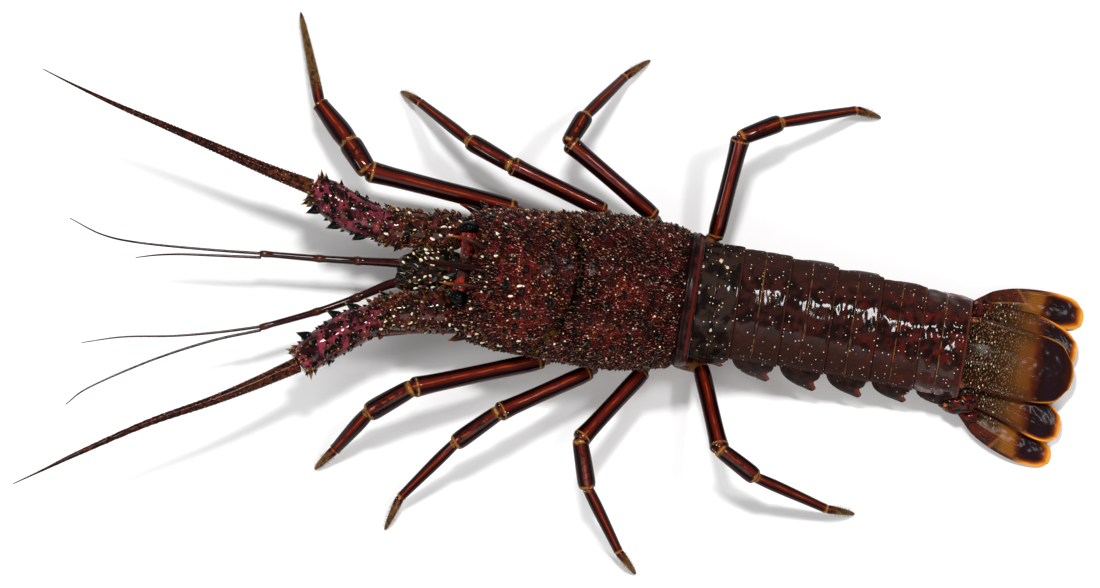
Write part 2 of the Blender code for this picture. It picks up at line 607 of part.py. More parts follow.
def make_pleuron(number, side, group):
    """Toothed side lobe of one segment, from inside its wall out and down to a tip."""
    start, end = ABDOMEN_JOINTS[number - 1] + GAP, ABDOMEN_JOINTS[number]
    tip_reach, tip_height = PLEURON_TIPS[number - 1]
    tip_reach -= PLEURON_TUCK[side]
    sign = SIDES[side]
    middle, half, _, _, wide = on_curve(ABDOMEN_STATIONS, (start + end) / 2)
    root_reach = half * PLEURON_ROOT_DEPTH
    outer, inner = [], []
    for along, drop in PLEURON_OUTLINE:
        x = start + (end - start) * along
        y = root_reach + (tip_reach - root_reach) * drop
        z = wide + (tip_height - wide) * drop
        thick = PLEURON_ROOT_THICKNESS + (PLEURON_TIP_THICKNESS - PLEURON_ROOT_THICKNESS) * drop
        outer.append((x, middle + sign * y, z))
        inner.append((x, middle + sign * (y - thick), z))
    return prism("pleuron", outer, inner, "tail_shell", group)


def make_swimmeret(number, sign, group):
    """Leaf that hangs back under a segment."""
    start, end = ABDOMEN_JOINTS[number - 1], ABDOMEN_JOINTS[number]
    along, across, sink = SWIMMERET_ROOT
    x = start + (end - start) * along
    middle, _, _, bottom, _ = on_curve(ABDOMEN_STATIONS, x)
    root = Vector((x, middle + sign * across, bottom + sink))
    reach = Vector((SWIMMERET_REACH[0], sign * SWIMMERET_REACH[1], SWIMMERET_REACH[2]))
    side = reach.cross(UP).normalized()
    depth = side.cross(reach).normalized() * SWIMMERET_THICKNESS
    edge = SWIMMERET_OUTLINE + [(t, -width) for t, width in reversed(SWIMMERET_OUTLINE)]
    upper = [root + reach * t + side * width for t, width in edge]
    lower = [point - depth for point in upper]
    return prism("swimmeret", upper, lower, "tail_shell", group)


def make_abdomen_segment(number):
    """One ring of the abdomen, stepped over the next one, with its lobes and leaves."""
    start = ABDOMEN_JOINTS[number - 1] + (GAP if number > 1 else 0.0)
    end = ABDOMEN_JOINTS[number]
    rings = [segment_ring(start + (end - start) * t, scale) for t, scale in SEGMENT_PROFILE]
    segment = loft("abdomen_%d" % number, rings, "tail_shell", LOBSTER, mirrored_caps=True)
    group = new_group("lobes")
    pieces = [make_pleuron(number, side, group) for side in SIDES]
    if number in SWIMMERET_SEGMENTS:
        pieces += [make_swimmeret(number, sign, group) for sign in SIDES.values()]
    combine(segment, pieces, "UNION")


def make_blade(name, outline, heights, thicknesses, ridged):
    """Thin blade of the tail fan, with rays raised in its own upper face."""
    columns = BLADE_COLUMNS
    uppers, lowers = [], []
    for (x, y, half), height, thick in zip(outline, heights, thicknesses):
        for j in range(columns):
            v = 2.0 * j / (columns - 1) - 1.0
            depth = max(BLADE_EDGE, thick * math.sqrt(max(0.0, 1.0 - v * v)))
            ray = RAY_HEIGHT if ridged and j % 2 == 0 and 0 < j < columns - 1 else 0.0
            crown = (1.0 - v * v) * half * BLADE_CROWN
            uppers.append((x, y + half * v, max(height + crown + depth / 2 + ray, depth)))
            lowers.append((x, y + half * v, max(height + crown - depth / 2, 0.0)))
    rows = len(outline)
    base = len(uppers)
    faces = []
    for i in range(rows - 1):
        for j in range(columns - 1):
            a, b = i * columns + j, i * columns + j + 1
            c, d = a + columns, b + columns
            faces += [(a, b, d), (a, d, c)]
            faces += [(base + a, base + d, base + b), (base + a, base + c, base + d)]
    rim = [i * columns for i in range(rows)]
    rim += [(rows - 1) * columns + j for j in range(1, columns)]
    rim += [i * columns + columns - 1 for i in range(rows - 2, -1, -1)]
    rim += [j for j in range(columns - 2, 0, -1)]
    for a, b in zip(rim, rim[1:] + rim[:1]):
        faces += [(a, b, base + b), (a, base + b, base + a)]
    return new_object(name, uppers + lowers, faces, "fan", LOBSTER)


def stalk_spines(name, side, points, radii, group):
    """Forward spines of one piece of a stalk, and the crown round its last end."""
    lengths = [(b - a).length for a, b in zip(points, points[1:])]
    places = [(along, turn, length, length * STALK_SPINE_WIDTH)
              for along, turn, length in STALK_SPINES[name]]
    if name == "end":
        along, length, width = CROWN_SPINE
        places += [(along, 360.0 * i / CROWN_SPINES, length, width) for i in range(CROWN_SPINES)]
        places += [(along, *INNER_SPINE) for along in INNER_SPINES[side]]
    spines = []
    for fraction, turn, length, width in places:
        travel = fraction * sum(lengths)
        i = 0
        while travel > lengths[i]:
            travel -= lengths[i]
            i += 1
        t = travel / lengths[i]
        forward = (points[i + 1] - points[i]).normalized()
        outer = forward.cross(UP).normalized() * SIDES[side]
        angle = math.radians(turn)
        outward = outer * math.cos(angle) + UP * math.sin(angle)
        spot = points[i].lerp(points[i + 1], t) + outward * (radii[i] + (radii[i + 1] - radii[i]) * t)
        spines.append(surface_spine(spot, outward, forward, length, width, "antenna", group))
    return spines


def make_antenna(side):
    """Three stout pieces of the antenna stalk and the stiff whip on its end."""
    stations = [(Vector(s[:3]), s[3]) for s in ANTENNA_STALK[side]]
    directions = [(b[0] - a[0]).normalized() for a, b in zip(stations, stations[1:])]
    ends = (0, *STALK_SPLITS, len(stations) - 1)
    for name, first, last in zip(("base", "mid", "end"), ends, ends[1:]):
        points = [station[0] for station in stations[first:last + 1]]
        radii = [station[1] for station in stations[first:last + 1]]
        start, end = FORWARD, None
        if first > 0:
            start = (directions[first - 1] + directions[first]).normalized()
            points[0] = points[0] + start * GAP
        if last < len(directions):
            end = (directions[last - 1] + directions[last]).normalized()
        rings = tube_rings(points, radii, STALK_SIDES, start=start, end=end, flatness=STALK_DEPTH)
        stalk = loft("antenna_%s_%s" % (side, name), rings, "antenna", LOBSTER)
        group = new_group("stalk_spines")
        combine(stalk, stalk_spines(name, side, points, radii, group), "UNION")
    path = smooth_path(FLAGELLUM[side], 2)
    rows = [(float(i), radius) for i, radius in enumerate(FLAGELLUM_RADII)]
    radii = [on_curve(rows, i / 2)[0] for i in range(len(path))]
    rings = tube_rings(path, radii, ROUND_SIDES, start=directions[-1])
    loft("antenna_%s_flagellum" % side, rings, "feeler", LOBSTER)


def make_antennule(side):
    """Thin jointed stem in front of the plate, ending in two feelers."""
    for name, points in ANTENNULE[side].items():
        radii = ANTENNULE_STEM_RADII if name == "stem" else ANTENNULE_FEELER_RADII
        path = smooth_path(points, 2)
        rows = [(float(i), radius) for i, radius in enumerate(radii)]
        sizes = [on_curve(rows, i / 2)[0] for i in range(len(path))]
        end = FORWARD if name == "stem" else None
        rings = tube_rings(path, sizes, FEELER_SIDES, start=FORWARD, end=end)
        loft("antennule_%s_%s" % (side, name), rings, "feeler", LOBSTER)


def make_plate():
    """Broad plate between the antenna roots, with two spines, carrying the antennules."""
    rings = []
    for x, y, z, half, rise in PLATE:
        rings.append([(x, y + across, z + up)
                      for across, up in body_ring(half, rise, -rise, 0.0, PLATE_SIDES, PLATE_SQUARE)])
    plate = loft("antennular_plate", rings, "shell", LOBSTER, mirrored_caps=True)
    group = new_group("plate_spines")
    spines = []
    rows = [(-x, y, z, rise) for x, y, z, _, rise in PLATE]
    for x, across in PLATE_SPINES:
        middle, height, rise = on_curve(rows, -x)
        spot = Vector((x, middle + across, height + rise * PLATE_SPINE_SEAT))
        spines.append(surface_spine(spot, UP, FORWARD, *PLATE_SPINE, "shell", group))
    combine(plate, spines, "UNION")


def make_maxilliped(side):
    """Small mouth leg folded forward under the head."""
    points = [(x, y * SIDES[side], z) for x, y, z in MAXILLIPED]
    rings = tube_rings(points, MAXILLIPED_RADII, ROUND_SIDES, start=FORWARD)
    loft("maxilliped_" + side, rings, "underside", LOBSTER)


def make_leg(name):
    """Upper and lower half of one walking leg, parted at the knee."""
    hip_x, joints = LEGS[name]
    sign = 1.0 if "right" in name else -1.0
    merus, carpus, propodus, dactyl = LEG_RADII[name[-1]]
    coxa, start, knee, ankle, shin_end, toe = [Vector(p) for p in joints]
    hip = Vector((hip_x, sign * (sternum_half(hip_x) + GAP), HIP_HEIGHT))
    side_normal = Vector((-STERNUM_SPREAD, sign, 0.0)).normalized()
    knee_plane = ((knee - start).normalized() + (ankle - knee).normalized()).normalized()

    stations = [(hip, HIP_RADIUS), (coxa, merus * COXA_SHARE)]
    stations += along_piece(start, knee, MERUS_PROFILE, merus)
    points, radii = zip(*stations)
    rings = tube_rings(points, radii, ROUND_SIDES, start=side_normal, end=knee_plane)
    loft(name + "_upper", rings, "leg", LOBSTER)

    root = knee + knee_plane * GAP
    ankle_plane = ((ankle - root).normalized() + (shin_end - ankle).normalized()).normalized()
    shin_plane = ((shin_end - ankle).normalized() + (toe - shin_end).normalized()).normalized()
    toe_plane = (toe - shin_end).normalized()
    stations, planes = [], []
    for first, final, first_plane, final_plane, profile, radius in (
            (root, ankle, knee_plane, ankle_plane, CARPUS_PROFILE, carpus),
            (ankle, shin_end, ankle_plane, shin_plane, PROPODUS_PROFILE, propodus),
            (shin_end, toe, shin_plane, toe_plane, DACTYL_PROFILE, dactyl)):
        stations += along_piece(first, final, profile, radius)
        planes += piece_planes(first, final, first_plane, final_plane, profile)
    points, radii = zip(*stations)
    rings = tube_rings(points, radii, ROUND_SIDES, planes=planes)
    loft(name + "_lower", rings, "leg", LOBSTER)


def stand_on_origin(nodes):
    """Hold every node by one empty that puts the middle of the model's base at the origin."""
    spots = [v.co for node in nodes for v in node.data.vertices]
    middle_x = (min(p.x for p in spots) + max(p.x for p in spots)) / 2
    middle_y = (min(p.y for p in spots) + max(p.y for p in spots)) / 2
    holder = bpy.data.objects.new("lobster_centre", None)
    holder.location = (-middle_x, -middle_y, 0.0)
    LOBSTER.objects.link(holder)
    for node in nodes:
        node.parent = holder


for item in list(bpy.data.objects):
    bpy.data.objects.remove(item)
bpy.context.scene.collection.children.link(LOBSTER)

make_carapace()
make_sternum()
make_plate()
for side_name in SIDES:
    make_eye(side_name)
    make_antenna(side_name)
    make_antennule(side_name)
    make_maxilliped(side_name)
    make_blade("endopod_" + side_name, ENDOPOD[side_name], ENDOPOD_HEIGHTS, UROPOD_THICKNESS, True)
    make_blade("exopod_" + side_name, EXOPOD[side_name], EXOPOD_HEIGHTS, UROPOD_THICKNESS, True)
make_blade("telson", TELSON, TELSON_HEIGHTS, TELSON_THICKNESS, True)
for segment in range(1, len(ABDOMEN_JOINTS)):
    make_abdomen_segment(segment)
for leg_name in LEGS:
    make_leg(leg_name)
stand_on_origin([item for item in LOBSTER.objects if item.type == "MESH"])
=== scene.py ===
import json
import math
import random

import bmesh
import bpy
from mathutils import Matrix, Vector, noise

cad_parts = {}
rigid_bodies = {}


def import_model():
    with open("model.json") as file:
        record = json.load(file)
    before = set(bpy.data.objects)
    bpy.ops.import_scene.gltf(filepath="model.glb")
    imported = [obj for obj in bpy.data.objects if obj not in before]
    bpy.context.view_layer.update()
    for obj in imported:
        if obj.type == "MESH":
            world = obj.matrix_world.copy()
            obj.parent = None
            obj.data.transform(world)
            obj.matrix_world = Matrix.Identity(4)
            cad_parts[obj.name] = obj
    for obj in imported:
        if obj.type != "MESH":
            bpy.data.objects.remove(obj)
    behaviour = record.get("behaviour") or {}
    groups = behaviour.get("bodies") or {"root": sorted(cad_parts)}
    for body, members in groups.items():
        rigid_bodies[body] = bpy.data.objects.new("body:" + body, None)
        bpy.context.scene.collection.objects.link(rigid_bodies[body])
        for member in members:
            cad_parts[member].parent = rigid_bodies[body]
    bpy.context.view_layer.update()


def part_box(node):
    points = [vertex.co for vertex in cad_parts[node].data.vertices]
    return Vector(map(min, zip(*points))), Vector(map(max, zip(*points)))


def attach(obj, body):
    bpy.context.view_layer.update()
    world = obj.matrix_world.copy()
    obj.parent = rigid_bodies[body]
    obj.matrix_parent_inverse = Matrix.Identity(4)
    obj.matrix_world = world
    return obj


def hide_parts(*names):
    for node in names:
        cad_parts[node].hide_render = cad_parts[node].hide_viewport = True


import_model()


# Back shell. On the real animal it is one stiff sheet of chalky shell over the head and the chest,
# with a neck groove across it and a smooth rim behind. It is a skin over its cross sections,
# in millimetres from the point between the eyes, head to -X and the animal's right side to +Y.
MM = 0.001
UP = Vector((0.0, 0.0, 1.0))
FORWARD = Vector((-1.0, 0.0, 0.0))
SIDES = {"right": 1.0, "left": -1.0}
keel_low, keel_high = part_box("sternum")
ORIGIN = Vector((keel_low.x - 20.0 * MM, (keel_low.y + keel_high.y) / 2, 0.0))

# X, then middle, half width, top, bottom and height of the widest line
SHELL_STATIONS = [
    (-1.0, -1.9, 22.4, 51.0, 22.0, 34.0),
    (5.0, -2.1, 25.6, 54.0, 20.8, 34.0),
    (12.0, -2.2, 27.6, 57.5, 20.0, 34.0),
    (24.0, -2.1, 28.8, 60.8, 20.0, 34.0),
    (40.0, -1.5, 30.0, 62.0, 20.0, 34.0),
    (60.0, -0.4, 31.0, 62.0, 20.0, 34.0),
    (75.0, 0.5, 30.0, 60.0, 20.0, 33.5),
    (88.0, 1.4, 27.8, 55.8, 19.6, 33.0),
    (94.7, 1.8, 26.2, 52.5, 19.0, 32.0),
]
SHELL_ROWS = 236
SHELL_COLUMNS = 250
SHELL_SQUARE = 2.3
SHELL_HEART = 38.0
FRONT_LEAN = (6.0, 12.0, 38.0)
FLUSHES = [(24.0, -1.0, 5.0), (27.0, -20.0, 7.5), (19.0, -8.0, 3.5), (12.0, 4.0, 3.5), (62.0, -22.0, 6.0),
           (66.0, -3.0, 5.0), (30.0, 21.0, 6.0)]
NECK_GROOVE = (47.1, 15.0, 2.3, 1.4)
REAR_GROOVE = (88.6, 1.2, 0.9)
RIM_SWELL = (92.2, 0.5, 1.3)
RIM_CREASE = (91.0, 0.4, 0.4)
SHELL_LUMPS = ((5.5, 0.28), (1.9, 0.12))


class Wire:
    """A shader socket that can stand in a sum."""

    def __init__(self, finish, socket):
        self.finish = finish
        self.socket = socket

    def maths(self, operation, *values):
        return self.finish.node("ShaderNodeMath", {"operation": operation}, dict(enumerate(values)))

    def __add__(self, other):
        return self.maths("ADD", self, other)

    __radd__ = __add__

    def __sub__(self, other):
        return self.maths("SUBTRACT", self, other)

    def __rsub__(self, other):
        return self.maths("SUBTRACT", other, self)

    def __mul__(self, other):
        return self.maths("MULTIPLY", self, other)

    __rmul__ = __mul__

    def __truediv__(self, other):
        return self.maths("DIVIDE", self, other)


class Finish:
    """A procedural material built on one shader."""

    def __init__(self, name, **constants):
        self.material = bpy.data.materials.new(name)
        self.material.use_nodes = True
        self.tree = self.material.node_tree
        self.shader = self.tree.nodes["Principled BSDF"]
        for key, value in constants.items():
            self.shader.inputs[key.replace("_", " ").title().replace("Ior", "IOR")].default_value = value
        place = self.node("ShaderNodeTexCoord", {}, {}, "Object")
        shift = tuple(-c / MM for c in ORIGIN)
        self.spot = self.node("ShaderNodeVectorMath", {"operation": "MULTIPLY_ADD"},
                              {0: place, 1: (1 / MM,) * 3, 2: shift})

    def node(self, kind, settings, sockets, output=0):
        """Add a node with its settings, then the values or links of its sockets."""
        node = self.tree.nodes.new(kind)
        for key, value in settings.items():
            if key == "stops":
                ramp = node.color_ramp
                ramp.elements.remove(ramp.elements[-1])
                ramp.elements[0].position = value[0][0]
                ramp.elements[0].color = (*value[0][1], 1.0)
                for place, colour in value[1:]:
                    ramp.elements.new(place).color = (*colour, 1.0)
            else:
                setattr(node, key, value)
        for key, value in sockets.items():
            socket = node.inputs[key]
            if isinstance(value, Wire):
                self.tree.links.new(value.socket, socket)
            elif socket.type == "RGBA" and len(value) == 3:
                socket.default_value = (*value, 1.0)
            else:
                socket.default_value = value
        return Wire(self, node.outputs[output])

    def axes(self, vector):
        """The three numbers of a vector."""
        node = self.node("ShaderNodeSeparateXYZ", {}, {0: vector}).socket.node
        return [Wire(self, node.outputs[i]) for i in range(3)]

    def mix(self, share, first, second, blend="MIX"):
        """Colour between two colours."""
        return self.node("ShaderNodeMix", {"data_type": "RGBA", "blend_type": blend},
                         {0: share, 6: first, 7: second}, 2)

    def fade(self, value, start, end):
        """0 below start, 1 past end, soft between them."""
        return self.node("ShaderNodeMapRange", {"interpolation_type": "SMOOTHSTEP"},
                         {"Value": value, 1: start, 2: end})

    def ramp(self, value, stops):
        """Colour along a row of stops."""
        return self.node("ShaderNodeValToRGB", {"stops": stops}, {0: value})

    def cloud(self, size, detail=2.0, shift=0.0, spot=None, warp=0.0):
        """Soft noise with features of the given size in millimetres."""
        spot = spot or self.spot
        if shift:
            spot = self.node("ShaderNodeVectorMath", {"operation": "ADD"}, {0: spot, 1: (shift,) * 3})
        return self.node("ShaderNodeTexNoise", {}, {"Vector": spot, "Scale": 1 / size,
                                                    "Detail": detail, "Distortion": warp})

    def cells(self, size, spot=None, output="Distance"):
        """Grains of the given size in millimetres: distance to the grain's middle, or its own number."""
        wire = self.node("ShaderNodeTexVoronoi", {}, {"Vector": spot or self.spot, "Scale": 1 / size}, output)
        return wire if output == "Distance" else self.axes(wire)

    def stretched(self, sizes):
        """The surface's place, drawn out along each axis."""
        return self.node("ShaderNodeVectorMath", {"operation": "MULTIPLY"},
                         {0: self.spot, 1: tuple(1 / size for size in sizes)})

    def kept(self, name, output="Vector"):
        """A value that the mesh carries."""
        return self.node("ShaderNodeAttribute", {"attribute_name": name}, {}, output)

    def relief(self, height, depth, normal=None):
        """Fine relief of the given depth in millimetres."""
        sockets = {"Height": height, "Distance": depth * MM}
        if normal:
            sockets["Normal"] = normal
        return self.node("ShaderNodeBump", {}, sockets)

    def wear(self, **sockets):
        """Join the finished values to the shader."""
        for key, value in sockets.items():
            self.tree.links.new(value.socket, self.shader.inputs[key.replace("_", " ").title()])
        return self.material


def on_curve(rows, x):
    """Columns at x, on a smooth curve through the rows."""
    last = len(rows) - 2
    i = 0
    while i < last and rows[i + 1][0] < x:
        i += 1
    before, start = rows[max(i - 1, 0)], rows[i]
    end, after = rows[i + 1], rows[min(i + 2, last + 1)]
    span = end[0] - start[0]
    t = min(max((x - start[0]) / span, 0.0), 1.0)
    values = []
    for a, b, c, d in zip(before[1:], start[1:], end[1:], after[1:]):
        rate_in = (c - a) / (end[0] - before[0]) * span
        rate_out = (d - b) / (after[0] - start[0]) * span
        values.append(b + t * (rate_in + t * (3 * (c - b) - 2 * rate_in - rate_out
                                              + t * (rate_in + rate_out - 2 * (c - b)))))
    return values


def bell(value, width):
    """1 at zero, falling softly to nothing."""
    return math.exp(-(value / width) ** 2)


def smooth(value, start, end):
    """0 below start, 1 past end, soft between them."""
    t = min(max((value - start) / (end - start), 0.0), 1.0)
    return t * t * (3 - 2 * t)


def section_point(half, top, bottom, wide, square, angle):
    """Y and Z at an angle round a closed section, from the middle of the back to the right."""
    across = math.copysign(abs(math.sin(angle)) ** (2 / square), math.sin(angle))
    rise = math.copysign(abs(math.cos(angle)) ** (2 / square), math.cos(angle))
    reach = top - wide if rise > 0 else wide - bottom
    return half * across, wide + reach * rise


def shell_spot(x, angle, relief=True):
    """Point of the back shell at x and an angle round it."""
    middle, half, top, bottom, wide = on_curve(SHELL_STATIONS, x)
    y, z = section_point(half, top, bottom, wide, SHELL_SQUARE, angle)
    lean, end, foot = FRONT_LEAN
    fade = max(0.0, 1.0 - (x + 1.0) / end)
    point = Vector((x + lean * fade * max(0.0, z - foot) / (top - foot), middle + y, z))
    if relief:
        outward = Vector((0.0, y, z - SHELL_HEART)).normalized()
        line, sweep, depth, width = NECK_GROOVE
        turn = abs(math.remainder(angle, 2 * math.pi))
        height = -depth * bell(x - line + sweep * math.sin(turn) ** 2, width) * (1 - smooth(turn, 1.3, 1.8))
        for line, depth, width in (REAR_GROOVE, RIM_CREASE):
            height -= depth * bell(x - line, width)
        line, rise, width = RIM_SWELL
        height += rise * bell(x - line, width)
        calm = smooth(x, 90.5, 88.5)
        for size, rise in SHELL_LUMPS:
            height += calm * rise * noise.noise(point / size)
        point += outward * height
    return point


def new_piece(name, points, faces, material, **carried):
    """Object at the origin with its place in its mesh, from points in millimetres."""
    mesh = bpy.data.meshes.new(name)
    mesh.from_pydata([ORIGIN + Vector(p) * MM for p in points], [], faces)
    for key, values in carried.items():
        if isinstance(values[0], (int, float)):
            mesh.attributes.new(key, "FLOAT", "POINT").data.foreach_set("value", values)
        else:
            flat = [number for value in values for number in value]
            mesh.attributes.new(key, "FLOAT_VECTOR", "POINT").data.foreach_set("vector", flat)
    shape = bmesh.new()
    shape.from_mesh(mesh)
    bmesh.ops.recalc_face_normals(shape, faces=shape.faces)
    shape.to_mesh(mesh)
    shape.free()
    if material:
        mesh.materials.append(material)
    mesh.shade_smooth()
    piece = bpy.data.objects.new(name, mesh)
    bpy.context.scene.collection.objects.link(piece)
    return piece


def skin(rings):
    """Points and faces of a closed skin over rings, with a pole at each end."""
    sides = len(rings[0])
    points = [Vector(p) for ring in rings for p in ring]
    faces = []
    for i in range(len(rings) - 1):
        for j in range(sides):
            k = (j + 1) % sides
            faces.append((i * sides + j, i * sides + k, (i + 1) * sides + k, (i + 1) * sides + j))
    for row in (0, len(rings) - 1):
        pole = len(points)
        points.append(sum((points[row * sides + j] for j in range(sides)), Vector()) / sides)
        faces += [(row * sides + j, row * sides + (j + 1) % sides, pole) for j in range(sides)]
    return points, faces


def drawn_in(ring, shares, centre):
    """Copies of a ring drawn towards a centre by each share."""
    return [[Vector(p).lerp(centre, share) for p in ring] for share in shares]


def fitted(piece, slot, *nodes):
    """Set a piece on the animal and hide the solids that it stands for; the slot is not used."""
    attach(piece, "root")
    if nodes:
        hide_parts(*nodes)
    return piece


shell = Finish("shell_skin", specular_ior_level=0.0, coat_ior=1.19, coat_roughness=0.15)
x, y, z = shell.axes(shell.spot)
wine = shell.fade(shell.cloud(6.0, 4.0), 0.46, 0.64)
rust = shell.fade(shell.cloud(9.0, 3.0, 40.0), 0.50, 0.66)
flank = shell.fade(z, 42.0, 27.0)
colour = shell.mix(wine, (0.0045, 0.0020, 0.0015), (0.042, 0.0028, 0.0046))
colour = shell.mix(rust * 0.7, colour, (0.050, 0.0075, 0.0028))
colour = shell.mix(flank * 0.7, colour, (0.062, 0.0110, 0.0050))
flush = shell.kept("flush", "Fac") * shell.fade(shell.cloud(2.2, 3.0, 60.0), 0.36, 0.58)
colour = shell.mix(flush * 0.85, colour, (0.165, 0.015, 0.010))
cheek = shell.fade(shell.cloud(3.5, 2.0, 11.0), 0.54, 0.66) * shell.fade(x, 34.0, 22.0)
colour = shell.mix(cheek, colour, (0.170, 0.010, 0.014))
# Painted shade: large patches at random places darkened towards black, also laid on the pearls and bristles.
painted_shade_patch = shell.fade(shell.cloud(7.0, 3.0, 71.0), 0.48, 0.60)
colour = shell.mix(painted_shade_patch * 0.6, colour, (0.0050, 0.0024, 0.0020))
# Darker towards the front edge: the shell's own near-black olive there, deepened behind the eyes as painted shade.
front = shell.fade(x, 13.0, 3.0)
colour = shell.mix(front * 0.8, colour, (0.005, 0.0035, 0.0022))
grain = 1 - shell.fade(shell.cells(0.85), 0.12, 0.42)
tone = shell.cells(0.85, output="Color")[0]
colour = shell.mix(grain * 0.65, colour, shell.ramp(tone, [
    (0.0, (0.002, 0.0012, 0.001)), (0.4, (0.011, 0.0025, 0.0025)), (0.62, (0.065, 0.008, 0.008)),
    (0.88, (0.13, 0.026, 0.018)), (0.96, (0.42, 0.26, 0.15))]))
furrow = shell.kept("furrow", "Fac")
olive = shell.fade(furrow, 0.02, 0.25) * shell.fade(z, 57.0, 52.0)
colour = shell.mix(olive * shell.fade(shell.cloud(2.0, 3.0, 25.0), 0.40, 0.58), colour, (0.070, 0.034, 0.007))
# Painted shade: the deep middle of the neck groove is darkened almost to black.
groove_painted_shade = shell.fade(furrow, 0.3, 0.8) * (0.3 + 0.7 * shell.fade(z, 52.0, 58.0))
colour = shell.mix(groove_painted_shade, colour, (0.0022, 0.0014, 0.0014))
smooth_rim = shell.fade(x, 89.4, 90.4)
plum = shell.fade(shell.cloud(3.5, 3.0, 52.0), 0.42, 0.62)
colour = shell.mix(smooth_rim, colour, shell.mix(plum, (0.0090, 0.0042, 0.0036), (0.032, 0.0085, 0.0095)))
# Painted shade: the rear groove and the rim crease are darkened towards black.
trench = shell.fade(x, 87.4, 88.3) * shell.fade(x, 90.2, 89.3)
crease = shell.fade(x, 90.4, 90.9) * shell.fade(x, 91.6, 91.1)
colour = shell.mix(trench * 0.85 + crease * 0.8, colour, (0.0032, 0.0018, 0.0016))
red_line = shell.fade(x, 92.6, 93.2) * shell.fade(x, 94.1, 93.5)
colour = shell.mix(red_line, colour, (0.085, 0.008, 0.005))
belly = shell.fade(z, 24.5, 21.5)
colour = shell.mix(belly, colour, (0.300, 0.130, 0.055))
rough = 0.40 + 0.22 * shell.cloud(1.2, 2.0) + 0.10 * flank
height = grain * 0.6 + shell.cloud(0.5, 2.0) * 0.5
shell_skin = shell.wear(base_color=colour, roughness=rough, coat_weight=0.12 + 0.18 * wine + 0.40 * smooth_rim,
                        normal=shell.relief(height * (1 - smooth_rim * 0.8), 0.40))

rows = [[shell_spot(x, 2 * math.pi * j / SHELL_COLUMNS) for j in range(SHELL_COLUMNS)]
        for x in [-1.0 + 95.7 * i / SHELL_ROWS for i in range(SHELL_ROWS + 1)]]
rows = drawn_in(rows[0], (0.86, 0.6, 0.3, 0.1, 0.03), Vector((3.4, -1.9, 37.0))) + rows
rows += drawn_in(rows[-1], (0.03, 0.10, 0.3, 0.6, 0.86), Vector((93.2, 1.8, 36.0)))
carapace = new_piece("back_shell", *skin(rows), shell_skin)


# Eyes. Each is a glossy green-black globe on a short bright red stalk that comes from the midline,
# in a socket of the shell. The socket is cut from the back shell before that is fitted.
EYE_CENTRE = (0.0, 14.3, 47.0)
EYE_RADIUS = 3.8
EYE_FLAT = 0.72
EYE_ROOT = (1.2, 0.2, 46.0)
STALK_RADII = (2.4, 2.9)
SOCKET_ROOM = 0.5


def tube_rings(points, radii, sides, start=None, end=None, depth=1.0, floor=True):
    """Rings round a limb or feeler, mitred at each bend, and where each lies round and along it."""
    points = [Vector(p) for p in points]
    last = len(points) - 1
    rings, lay = [], []
    travel = [0.0]
    for a, b in zip(points, points[1:]):
        travel.append(travel[-1] + (b - a).length)
    for i, (point, radius) in enumerate(zip(points, radii)):
        ahead = (points[min(i + 1, last)] - points[min(i, last - 1)]).normalized()
        behind = (points[max(i, 1)] - points[max(i - 1, 0)]).normalized()
        plane = (ahead + behind).normalized()
        if i == 0 and start is not None:
            plane = start
        if i == last and end is not None:
            plane = end
        along = plane if floor is None else (behind if i > 0 else ahead)
        side = along.cross(UP).normalized()
        rise = side.cross(along)
        ring = []
        for j in range(sides):
            angle = 2 * math.pi * (j + 0.5) / sides
            offset = side * math.cos(angle) * radius + rise * math.sin(angle) * radius * depth
            offset -= along * (offset.dot(plane) / along.dot(plane))
            spot = point + offset
            ring.append(Vector((spot.x, spot.y, max(spot.z, 0.0))))
            lay.append((math.cos(angle), math.sin(angle), travel[i] / travel[-1]))
        rings.append(ring)
    return rings, lay


def eye_path(sign, room):
    """Middle line and radii of a stalk and its globe, larger all round by the given room."""
    centre = Vector((EYE_CENTRE[0], EYE_CENTRE[1] * sign, EYE_CENTRE[2]))
    root = Vector((EYE_ROOT[0], EYE_ROOT[1] * sign, EYE_ROOT[2]))
    outward = (centre - root).normalized()
    stalk = [(root - outward * room * 0.2, STALK_RADII[0] + room)]
    for share, swell in ((0.3, -0.1), (0.6, -0.2), (0.85, 0.2), (1.0, 0.5)):
        stalk.append((root.lerp(centre - outward * EYE_RADIUS * 0.62, share),
                      STALK_RADII[0] + (STALK_RADII[1] - STALK_RADII[0]) * share + swell * 0.5 + room))
    globe = []
    for turn in range(-60, 90, 9):
        reach = EYE_RADIUS + room
        globe.append((centre + outward * reach * EYE_FLAT * math.sin(math.radians(turn)),
                      reach * math.cos(math.radians(turn))))
    return stalk, globe


cornea = Finish("eye_globe", specular_ior_level=0.0, coat_ior=1.2, roughness=0.12, coat_weight=0.75,
                coat_roughness=0.04)
facets = cornea.cells(0.16)
tone = cornea.fade(cornea.cloud(2.5, 2.0), 0.4, 0.7)
cornea_skin = cornea.wear(base_color=cornea.mix(tone, (0.0006, 0.0010, 0.0010), (0.0018, 0.0050, 0.0036)),
                          normal=cornea.relief(facets, 0.004))
stalk = Finish("eye_stalk", specular_ior_level=0.0, coat_ior=1.4, coat_weight=1.0, coat_roughness=0.06)
vein = stalk.fade(stalk.cloud(2.0, 3.0), 0.40, 0.56)
_, y, _ = stalk.axes(stalk.spot)
inner = stalk.fade(stalk.node("ShaderNodeMath", {"operation": "ABSOLUTE"}, {0: y + 1.6}), 5.6, 3.8)
colour = stalk.mix(vein, (0.26, 0.012, 0.006), (0.022, 0.0022, 0.0018))
colour = stalk.mix(inner * 0.92, colour, stalk.mix(vein, (0.030, 0.009, 0.006), (0.008, 0.006, 0.004)))
stalk_skin = stalk.wear(base_color=colour, roughness=0.2 + 0.2 * vein,
                        normal=stalk.relief(stalk.cloud(1.4, 3.0), 0.5))

